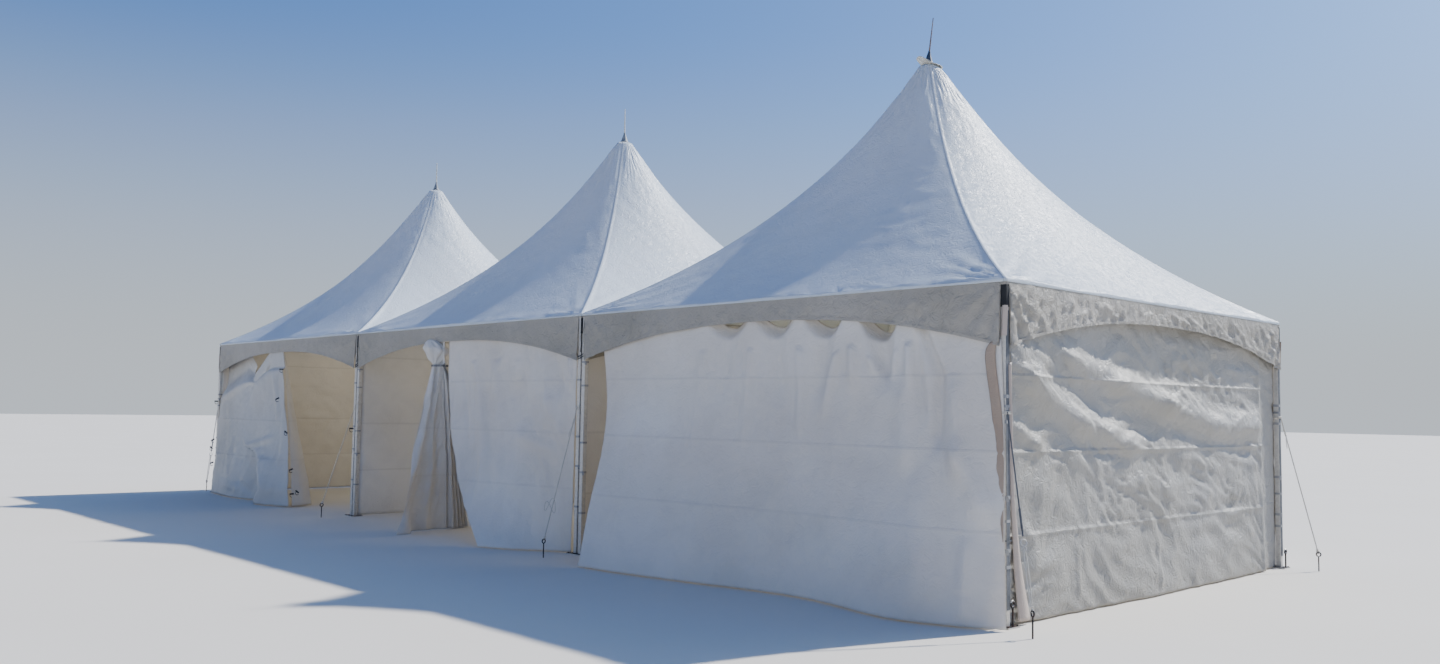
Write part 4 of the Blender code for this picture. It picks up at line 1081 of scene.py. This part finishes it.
fittings = {
    "bandHeights": (1.61, 1.54, 1.43, 0.90, 0.735, 0.53, 0.415), "bandWidth": 0.024,
    "joinHeights": (1.98, 1.74, 1.16, 0.86, 0.45), "band": 0.0018, "tail": 0.03,
    "strips": ((0.011, 0.026), (-0.013, 0.014)),  # upright webbing: shift off the leg's middle, width
    "stripFoot": 0.12, "stripRun": 2.10,
    "blockFoot": 2.245, "blockTop": 2.405, "blockEnd": -0.018, "webbing": 0.0026, "strapLift": 0.0035,
    "lacingFoot": 2.03, "lacing": (0.030, 0.016), "lacingThick": 0.0022,
    "plateHalf": 0.075, "plateTop": 0.0112,
    "bolt": (0.058, 0.014, 0.007),                # off the leg's middle, in from the plate's edge, size
    "pinThick": 0.0074, "pinEye": 0.020, "pinHeight": 0.143,
}
guy = {
    "height": 1.50, "thick": 0.0055, "double": 0.0042,   # on the leg, radii of the plain and doubled line
    "loops": (1.50, 1.488), "ring": 0.026,               # rounds on the leg, eye below the stake's top
    # the doubled line below the ratchet strap, as (share of the way, shift to a side)
    "doubled": ((0.70, 0.0), (0.74, 0.009), (0.85, 0.010), (0.985, 0.006)),
    "wound": (13, 0.0035, 1.9, 0.007),                   # turns of the knot: steps, share, angle, radius
}


def makeLegStraps(name, middle, sideX, sideY):
    # upright webbing that carries the wall's ties, and the bands that hold it to the leg
    bm = bmesh.new()
    face = legHalf + 0.0022
    levels = [fittings["stripFoot"] + fittings["stripRun"] * step / 26 for step in range(27)]
    for shift, wide in fittings["strips"]:
        route = [middle + Vector((sideX * face, sideY * shift + 0.0015 * math.sin(9 * z), z)) for z in levels]
        sweep(bm, flatSection(wide, 0.0016), route, (sideX, 0, 0))
    finishFittings(name + "_strip", bm, greyWebbing)
    bm = bmesh.new()
    for number, z in enumerate(fittings["bandHeights"]):
        wide = fittings["bandWidth"] * (0.8 if number % 3 == 1 else 1.0)
        legLoop(bm, middle, z, flatSection(wide, fittings["band"]), 0.0045, fittings["tail"] * (number % 2))
    finishFittings(name + "_bands", bm, paleWebbing)


def makeStrapBlock(name, middle, sideX, sideY):
    # folded black webbing that holds the roof's corner down on the leg
    bm = bmesh.new()
    face = legHalf + fittings["strapLift"]
    lower, upper = fittings["blockFoot"], fittings["blockTop"]
    level = Vector((0, 0, (lower + upper) / 2))
    for layer in range(2):
        out, end = face + 0.0032 * layer, fittings["blockEnd"] + 0.012 * layer
        route = [middle + level + Vector((sideX * x, sideY * y, 0))
                 for x, y in ((end, out), (out - 0.006, out), (out, out - 0.006), (out, end))]
        section = flatSection(upper - lower - 0.02 * layer, fittings["webbing"])
        sweep(bm, [(y, x) for x, y in section], route, (0, 0, 1))
    finishFittings(name, bm, blackWebbing)
    # the lacing below it: two strips of cloth, one laid beside the other
    bm = bmesh.new()
    head = middle + Vector((sideX * 0.032, sideY * (face + 0.006), lower + 0.01))
    fall = Vector((-sideX * 0.010, 0, fittings["lacingFoot"] - lower))
    route = [head + fall * (step / 16) for step in range(17)]
    inner = [spot + Vector((-sideX * 0.021, sideY * 0.002, 0)) for spot in route]
    wide, narrow = fittings["lacing"]
    sweep(bm, flatSection(wide, fittings["lacingThick"]), route, (sideX * 0.5, sideY, 0))
    sweep(bm, flatSection(narrow, fittings["lacingThick"]), inner, (-sideX * 0.4, sideY, 0))
    finishFittings(name.replace("roof_strap", "corner_lacing"), bm, lacingCloth)


def makePlates(name, node, middle):
    # soiled steel foot plate round the foot of the leg, laid over the frame's own
    low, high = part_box(node)
    half, top = fittings["plateHalf"], fittings["plateTop"]
    hole = legHalf + 0.0015
    lowX, highX = max(low[0], middle.x - half), min(high[0], middle.x + half)
    bm = bmesh.new()
    for y in (-1, 1):
        line = middle.y + y * (hole + half) / 2
        sweep(bm, flatSection(half - hole, fittings["band"]), [(lowX, line, top), (highX, line, top)])
    for start, end in ((lowX, middle.x - hole), (middle.x + hole, highX)):
        if end - start > 0.006:
            sweep(bm, flatSection(2 * hole, fittings["band"]), [(start, middle.y, top), (end, middle.y, top)])
    reach, inset, size = fittings["bolt"]
    for x in (lowX + inset, highX - inset):
        for y in (middle.y - reach, middle.y + reach):
            sweep(bm, roundSection(size, 6), [(x, y, top), (x, y, top + size)], (0, 1, 0))
    finishFittings(name, bm, darkSteel)


def makePin(name, middle, sideX):
    # the ring pin driven in beside the leg's plate, dark with rust
    spot = middle + Vector((sideX * (legHalf + 0.035), 0, 0))
    shank = [spot + Vector((0, 0, z)) for z in (0.012, fittings["pinHeight"])]
    ring = ringRoute(spot + Vector((0, 0, 0.164)), fittings["pinEye"], 28, toY, (0, 0, 1))
    bm = bmesh.new()
    for route in (shank, ring):
        sweep(bm, roundSection(fittings["pinThick"], 10), route, (1, 0, 0))
    finishFittings(name, bm, darkSteel)


def makeRope(name, node, stake, middle, strapped):
    # a guy: looped round its leg and tied to the ring of its stake
    low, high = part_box(stake)
    eye = Vector(((low[0] + high[0]) / 2, (low[1] + high[1]) / 2, high[2] - guy["ring"]))
    away = Vector((eye.x - middle.x, eye.y - middle.y, 0)).normalized()
    reach = (legHalf + 0.009) / max(abs(away.x), abs(away.y))
    start = middle + Vector((0, 0, guy["height"])) + away * reach
    way = (eye - start).normalized()
    length = (eye - start).length - 0.020
    side = way.cross(Vector((0, 0, 1))).normalized()
    across = way.cross(side)

    def at(share, shift=0.0):
        return start + way * (length * share) + side * shift

    bm = bmesh.new()
    for z in guy["loops"]:
        legLoop(bm, middle, z, roundSection(guy["thick"]), 0.0065)
    line = roundSection(guy["double"] if strapped else guy["thick"])
    if strapped:
        for sign in (1, -1):
            sweep(bm, line, [at(share, sign * shift) for share, shift in guy["doubled"]], side)
    else:
        sweep(bm, line, [at(0.0), at(0.5), at(1.0)], side)
        steps, share, turn, radius = guy["wound"]
        wound = [at(0.10 + share * step) + side * (radius * math.sin(turn * step))
                 + across * (radius * math.cos(turn * step)) for step in range(steps)]
        sweep(bm, roundSection(0.0045), wound, side)
        tail = [at(0.15), at(0.17, 0.025) - Vector((0, 0, 0.02)), at(0.20, 0.035) - Vector((0, 0, 0.05))]
        sweep(bm, roundSection(0.0035), tail, side)
    # the hitch in the stake's ring
    sweep(bm, line, ringRoute(eye - way * 0.020, 0.0125, 16, way, across), side)
    sweep(bm, line, ringRoute(eye - way * 0.044, 0.0085, 12, side, across), way)
    piece = finishFittings(name, bm, whiteRope)
    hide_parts(node)
    if strapped:
        bm = bmesh.new()
        sweep(bm, flatSection(0.018, 0.003), [at(0.0), at(0.3), at(0.64)], side)
        sweep(bm, flatSection(0.024, 0.006), [at(0.50), at(0.60)], side)
        legLoop(bm, middle, 0.60, flatSection(0.010, 0.0016), 0.010)
        finishFittings(name + "_strap", bm, greyWebbing)
        bm = bmesh.new()
        sweep(bm, roundSection(0.0042), ringRoute(at(0.67), 0.022, 24, way, side), across)
        sweep(bm, roundSection(0.0036), ringRoute(at(0.70), 0.014, 20, way, side, 0.2, 0.7), across)
        finishFittings(name + "_hook", bm, zincSteel)


lacingCloth = coatedCloth("lacingCoatedPolyester", {
    **clothValues, "colour": "#CBBDB2", "patch": "#B9A99D", "soilShare": 0.25})
quarters = [(sideX, sideY, f"{yWord}_{xWord}") for sideX, xWord in ((-1, "left"), (1, "right"))
            for sideY, yWord in ((-1, "front"), (1, "back"))]
for sideX, sideY, label in quarters:
    corner = Vector((sideX * (pitch + legLine), sideY * legLine, 0))
    join = Vector((sideX * legLine, sideY * legLine, 0))
    makeLegStraps(f"leg_webbing_{label}_corner", corner, sideX, sideY)
    makeStrapBlock(f"roof_strap_{label}_corner", corner, sideX, sideY)
    makePin(f"foot_pin_{label}_corner", corner, sideX)
    for end, spot in ((label + "_corner", corner), (label + "_join", join)):
        makeRope("guy_rope_" + end, "guy_" + end, "stake_" + end, spot, end.endswith("corner") and sideY < 0)
for bayName in bays:
    for sideX, sideY, label in quarters:
        middle = Vector((bayMiddle[bayName] + sideX * legLine, sideY * legLine, 0))
        makePlates(f"foot_plate_{bayName}_{label}", f"leg_{bayName}_{label}", middle)
        if abs(middle.x) > pitch + legLine - 0.01:
            continue
        bm = bmesh.new()
        for number, z in enumerate(fittings["joinHeights"]):
            tail = 0.0 if number % 3 else fittings["tail"]
            legLoop(bm, middle, z + 0.03 * sideX, flatSection(0.020, fittings["band"]), 0.0030, tail)
        finishFittings(f"leg_bands_{bayName}_{label}", bm, paleWebbing)
for sideX, sideY, label in quarters:
    # the join of two bays: one black strap over both roofs' corners, ends tucked behind
    middle = Vector((sideX * pitch / 2, sideY * (legLine + legHalf + fittings["strapLift"]), 0))
    facing = (0, sideY, 0)
    bm = bmesh.new()
    for layer in range(2):
        heights = (fittings["blockFoot"], 2.33, fittings["blockTop"] - 0.02 * layer)
        route = [middle + Vector((0, sideY * 0.003 * layer, z)) for z in heights]
        sweep(bm, flatSection(0.034 - 0.008 * layer, fittings["webbing"]), route, facing)
    route = [middle + Vector((0.004 * math.sin(5 * step), sideY * 0.004, 2.25 - 0.033 * step))
             for step in range(7)]
    sweep(bm, flatSection(0.014, 0.002), route, facing)
    for z in (2.02, 1.995):
        route = [middle + Vector((x, sideY * (0.004 + 0.006 * (x > 0)), z + 0.3 * x))
                 for x in (-0.05, 0.0, 0.05)]
        sweep(bm, roundSection(0.004, 6), route, facing)
    finishFittings(f"roof_strap_{label}_join", bm, blackWebbing)

print("edge strips, toggles and ties")
edging = {
    # cream edge of the end wall beside the near leg: (height, start, end) along the wall
    "near": ((0.03, -2.365, -2.21), (0.30, -2.385, -2.27), (0.60, -2.405, -2.33), (0.90, -2.430, -2.385),
             (1.40, -2.455, -2.41), (1.85, -2.468, -2.425)),
    # tan strip along the right front curtain's edge, up to its rounded head: painted shade of the warm inside
    # seen through the gap by the near leg
    "band": ((0.60, 7.530, 7.535), (0.91, 7.466, 7.518), (1.17, 7.432, 7.508), (1.52, 7.395, 7.478),
             (1.87, 7.344, 7.428), (1.95, 7.352, 7.430), (2.00, 7.392, 7.438)),
}


def makeEdging(name, rows, look, way):
    low, high = rows[0][0], rows[-1][0]
    starts, ends = [row[:2] for row in rows], [(row[0], row[2]) for row in rows]

    def place(u, v):
        z = high + (low - high) * v
        at = follow(starts, z) * (1 - u) + follow(ends, z) * u
        return way(at, z, u)

    flat = (sum(row[2] - row[1] for row in rows) / len(rows), high - low)
    piece = clothSheet(name, 8, [step / 60 for step in range(61)], place, flat, look)


# a sheet of painted shade: the warm, shaded inside of the tent seen through the gap beside the near leg
gapShadeCloth = coatedCloth("curtainGapShadePolyester", {
    **clothValues, "colour": "#BBA692", "patch": "#A8927E", "soilShare": 0.3, "creaseDepth": 0.014})


def placeNear(y, z, u):
    bow = 0.018 * math.sin(math.pi * u) + 0.35 * endWall["billow"] * smoothStep(1 - z / 0.5)
    return Vector((pitch + wallLine + 0.016 + bow, y, z))


def placeGapShade(x, z, u):
    y = curtainLine + (rightCurtain["feet"][-1][1] - curtainLine) * flare(z) - 0.012
    return Vector((x, min(-legLine - legHalf - 0.014, y) - 0.004 * math.sin(math.pi * u), z))


makeEdging("end_wall_edge_right", edging["near"], lacingCloth, placeNear)
makeEdging("front_curtain_gap_shade_right", edging["band"], gapShadeCloth, placeGapShade)


def makeToggles(name, spots):
    # black toggles on short loops along a curtain's edge
    bm = bmesh.new()
    for number, spot in enumerate(spots):
        spot = Vector(spot)
        turn = 0.7 * math.sin(2.3 * number)
        bar = (cameraRight * math.cos(turn) + Vector((0, 0, math.sin(turn)))) * 0.028
        loop = ringRoute(spot - Vector((0, 0, 0.022)), 0.024, 16, cameraRight, (0, 0, 1), 0.1, 0.8)
        sweep(bm, roundSection(0.011), [spot - bar, spot, spot + bar], towardsCamera)
        sweep(bm, roundSection(0.004, 6), loop, towardsCamera)
    finishFittings(name, bm, darkPlastic)


makeToggles("front_flap_toggles_left", (
    (-4.729, -2.60, 1.982), (-4.762, -2.63, 1.549), (-4.383, -2.64, 1.065), (-4.25, -2.60, 0.533),
    (-4.19, -2.60, 0.188), (-4.10, -2.56, 0.224)))
makeToggles("front_curtain_toggles_left", (
    (-7.36, -2.57, 1.50), (-7.30, -2.62, 0.87), (-7.32, -2.63, 0.74), (-7.25, -2.64, 0.50)))
makeToggles("leg_toggle_join", ((-2.50, -2.545, 1.16),))


def makeLooseTies():
    bm = bmesh.new()
    across = Vector((*tied["across"], 0))
    for z in (1.955, 1.967):
        route = ringRoute((*tied["neck"], z), 1.0, 24, across * 0.100, towardsCamera * 0.075)
        sweep(bm, roundSection(0.0045, 6), route, (0, 0, 1))
    finishFittings("tied_curtain_tie_middle", bm, greyWebbing)
    # the loose bow on the rope of the join between the middle and right bays
    bm = bmesh.new()
    bow = [Vector((2.455, -2.80, 0.50)) + cameraRight * (0.055 * math.sin(turn))
           + Vector((0, 0, 0.060 * math.sin(2 * turn + 0.4) + 0.02 * math.cos(turn)))
           for turn in [2 * math.pi * step / 40 for step in range(41)]]
    sweep(bm, roundSection(0.0035, 6), bow, towardsCamera)
    finishFittings("rope_bow_front_right_join", bm, whiteRope)


makeLooseTies()

print("finials")
finials = {
    # foot radius and height of the cones; the near one is navy, and taller than the steel cone
    # under it, where the spike begins to lean
    "left": {"radius": 0.047, "height": 0.125, "steel": 0.125, "lean": (0.0, 0.0)},
    "middle": {"radius": 0.050, "height": 0.120, "steel": 0.120, "lean": (0.0, 0.0)},
    "right": {"radius": 0.046, "height": 0.140, "steel": 0.095, "lean": (0.075, 0.080)},
    "top": 0.010, "cover": 0.0022, "spike": (0.0092, 0.0050),
    # rolled foot of the cone and collar of the spike, as (out, up) from the foot's and the top's rim
    "foot": ((0.0, 0.0), (0.003, 0.002), (0.003, 0.007), (0.0, 0.010)),
    "collar": ((0.0, 0.010), (-0.003, 0.013)),
    "overTip": {"left": 0.012, "middle": 0.012, "right": 0.080},
}
# the near cap is a soft disc that has curled up on one side and sags on the other
curledCap = {"radius": 0.140, "hole": 0.0146, "curlWay": (-0.69, -0.73), "curl": 0.085, "sag": 0.022,
             "wave": 0.006, "thickness": 0.003, "steps": 72, "rings": 14}


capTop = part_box("cap_middle")[1][2]


def leanOf(bay, z):  # how far the spike's middle has moved off the mast's line at a height
    return Vector((*finials[bay]["lean"], 0)) * max(z - capTop - finials[bay]["steel"], 0.0)


def makeFinial(bay):
    # a moulded cone on the cap, with a rolled foot and a collar for the spike
    base, cover = capTop + 0.0004, finials["cover"]
    radius, height, top = finials[bay]["radius"] + cover, finials[bay]["height"], finials["top"] + cover
    profile = [(radius + out, up) for out, up in finials["foot"]]
    profile += [(radius + (top - radius) * share, height * share) for share in (0.3, 0.5, 0.7, 0.9, 1.0)]
    profile += [(top + out, height + up) for out, up in finials["collar"]]
    profile.append((0.0070, profile[-1][1]))
    bm = spinRound([(reach, base + level) for reach, level in profile], 64)
    for vert in bm.verts:
        vert.co += Vector((bayMiddle[bay], 0, 0)) + leanOf(bay, vert.co.z)
    coneLook, spikeLook = (navyPlastic, brownPlastic) if bay == "right" else (greyPlastic, palePlastic)
    cone = newPiece("finial_cone_" + bay, bm, coneLook, crease=50)
    thicken(cone, 0.0012)
    # the sleeve on the spike, from the collar to just over the tip
    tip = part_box("mast_" + bay)[1][2] + finials["overTip"][bay]
    foot = base + height + 0.009
    wide, narrow = finials["spike"]
    bm = bmesh.new()
    levels = [foot + (tip - foot) * step / 12 for step in range(13)]
    sweep(bm, roundSection(1.0, 12), [(0, 0, z) for z in levels], (1, 0, 0))
    for vert in bm.verts:
        girth = wide + (narrow - wide) * (vert.co.z - foot) / (tip - foot)
        across = Vector((vert.co.x, vert.co.y, 0)) * girth
        vert.co = across + Vector((bayMiddle[bay], 0, vert.co.z)) + leanOf(bay, vert.co.z)
    finishFittings("finial_spike_" + bay, bm, spikeLook)


def makeCurledCap():
    # replaces the plain disc on the near mast
    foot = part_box("cap_right")[0][2] + curledCap["thickness"] / 2 + 0.0005
    way = Vector((*curledCap["curlWay"], 0)).normalized()
    hole, rings = curledCap["hole"], curledCap["rings"]
    reaches = [hole + (curledCap["radius"] - hole) * step / rings for step in range(rings + 1)]
    bm = spinRound([(reach, 0) for reach in reaches], curledCap["steps"])
    for vert in bm.verts:
        reach = math.hypot(vert.co.x, vert.co.y)
        share = smoothStep((reach / curledCap["radius"] - 0.30) / 0.70)
        facing = (vert.co.x * way.x + vert.co.y * way.y) / reach
        angle = math.atan2(vert.co.y, vert.co.x)
        rise = curledCap["curl"] * smoothStep((facing + 0.25) / 1.25)
        sag = curledCap["sag"] * smoothStep(-facing) * smoothStep((reach - 0.098) / 0.04)
        ripple = curledCap["wave"] * math.sin(3 * angle + 0.8) * share
        pull = 1 - 0.10 * share * max(facing, 0.0)
        vert.co = Vector((vert.co.x * pull + bayMiddle["right"], vert.co.y * pull,
                          foot + share * rise + max(ripple, 0.0) - sag))
    cap = newPiece("finial_cap_right", bm, palePlastic, crease=60)
    thicken(cap, curledCap["thickness"])
    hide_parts("cap_right")


for bayName in bays:
    makeFinial(bayName)
makeCurledCap()

print("steel frame and fittings")
nodeLooks = {"leg": zincSteel, "eave": zincSteel, "stays": zincSteel, "mast": zincSteel,
             "stake": darkSteel, "cap": palePlastic}
for nodeName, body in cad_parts.items():
    look = nodeLooks.get(nodeName.split("_")[0])
    if look:
        for holder in body.material_slots:
            holder.link = "OBJECT"
            holder.material = look

print("floor, light and camera")
studio = {
    "floorHalf": 120.0, "floorColour": "#DDD8CF", "floorCloud": "#D6D0C5",
    "sun": {"towards": (0.170, 0.738, 0.653), "strength": 7.6, "angle": 1.4, "colour": "#FFFDF9"},
    "front": {"towards": (-0.20, -0.97, 0.12), "strength": 0.27, "angle": 60.0, "colour": "#F6F8FF"},
    "skyStrength": 0.178, "skyTint": "#A4CCFF", "skyDust": 2.0,
    "hazeTop": 0.34, "hazeColour": "#DDE5EE", "hazeGain": 5.0,
    "fillStrength": 50.0, "fillColour": "#FFEFDA", "fillSize": 0.9, "fillLift": 0.35,
}


def makeFloor():
    # plain pale studio floor: matt painted board with the faintest unevenness
    look, tree, place = startLook("studioFloorPaint")
    cloud = addNode(tree, "TexNoise", None, {"Vector": place, "Scale": 0.35, "Detail": 4.0})
    tone = addNode(tree, "Mix", {"data_type": "RGBA"}, {
        0: cloud.outputs["Fac"], 6: studio["floorColour"], 7: studio["floorCloud"]})
    paint = addNode(tree, "BsdfPrincipled", None, {"Base Color": tone.outputs[2], "Roughness": 0.9})
    finishLook(look, paint)
    bm = bmesh.new()
    bmesh.ops.create_grid(bm, x_segments=1, y_segments=1, size=studio["floorHalf"])
    mesh = bpy.data.meshes.new("studio_floor")
    bm.to_mesh(mesh)
    bm.free()
    mesh.materials.append(look)
    floor = bpy.data.objects.new("studio_floor", mesh)
    floor.location.z = cadLow[2] - 0.0005
    bpy.context.collection.objects.link(floor)


makeFloor()


def makeSun(name, values):
    data = bpy.data.lights.new(name, "SUN")
    data.energy = values["strength"]
    data.angle = math.radians(values["angle"])
    data.color = toLinear(values["colour"])[:3]
    lamp = bpy.data.objects.new(name, data)
    lamp.rotation_euler = Vector(values["towards"]).to_track_quat("Z", "Y").to_euler()
    bpy.context.collection.objects.link(lamp)


makeSun("studio_sun", studio["sun"])
makeSun("studio_front", studio["front"])     # wide and weak, so the shaded front still reads
world = bpy.data.worlds.new("studio_sky")
bpy.context.scene.world = world
world.use_nodes = True
sunSide = Vector(studio["sun"]["towards"])
sky = addNode(world.node_tree, "TexSky", {
    "sky_type": "NISHITA", "sun_disc": False, "dust_density": studio["skyDust"],
    "sun_elevation": math.asin(sunSide.z), "sun_rotation": math.atan2(sunSide.x, sunSide.y)})
tinted = addNode(world.node_tree, "Mix", {"data_type": "RGBA", "blend_type": "MULTIPLY"}, {
    0: 1.0, 6: sky.outputs["Color"], 7: studio["skyTint"]})
# a pale haze low down, all the way round
direction = addNode(world.node_tree, "NewGeometry").outputs["Position"]
upward = addNode(world.node_tree, "SeparateXYZ", None, {"Vector": direction}).outputs["Z"]
haze = addNode(world.node_tree, "MapRange", {"interpolation_type": "SMOOTHSTEP"}, {
    "Value": upward, "From Min": 0.0, "From Max": studio["hazeTop"], "To Min": 1.0, "To Max": 0.0})
hazeColour = [part * studio["hazeGain"] for part in toLinear(studio["hazeColour"])]
hazy = addNode(world.node_tree, "Mix", {"data_type": "RGBA"}, {
    0: haze.outputs["Result"], 6: tinted.outputs[2], 7: hazeColour})
background = world.node_tree.nodes["Background"]
background.inputs["Strength"].default_value = studio["skyStrength"]
world.node_tree.links.new(hazy.outputs[2], background.inputs["Color"])
for bayName in bays:
    # daylight that fills the bays through their roofs
    fillData = bpy.data.lights.new("studio_fill_" + bayName, "POINT")
    fillData.energy = studio["fillStrength"]
    fillData.color = toLinear(studio["fillColour"])[:3]
    fillData.shadow_soft_size = studio["fillSize"]
    fill = bpy.data.objects.new("studio_fill_" + bayName, fillData)
    fill.location = (bayMiddle[bayName], 0.2, eaveHeight + studio["fillLift"])
    bpy.context.collection.objects.link(fill)

cameraValues = {"place": (11.954, -9.497, 1.483), "yaw": 46.53, "pitch": 3.91, "roll": 0.88, "lens": 28.50}
cameraData = bpy.data.cameras.new("photo_camera")
cameraData.sensor_width = 36.0
cameraData.sensor_fit = "HORIZONTAL"
cameraData.lens = cameraValues["lens"]
cameraData.clip_end = 500.0
camera = bpy.data.objects.new("photo_camera", cameraData)
yaw, pitchUp, roll = (math.radians(cameraValues[key]) for key in ("yaw", "pitch", "roll"))
ahead = Vector((-math.sin(yaw) * math.cos(pitchUp), math.cos(yaw) * math.cos(pitchUp), math.sin(pitchUp)))
levelRight = Vector((math.cos(yaw), math.sin(yaw), 0))
levelUp = levelRight.cross(ahead)
right = levelRight * math.cos(roll) + levelUp * math.sin(roll)
up = levelUp * math.cos(roll) - levelRight * math.sin(roll)
turned = Matrix((right, up, -ahead)).transposed().to_4x4()
camera.matrix_world = Matrix.Translation(cameraValues["place"]) @ turned
bpy.context.collection.objects.link(camera)
bpy.context.scene.camera = camera

print("done")
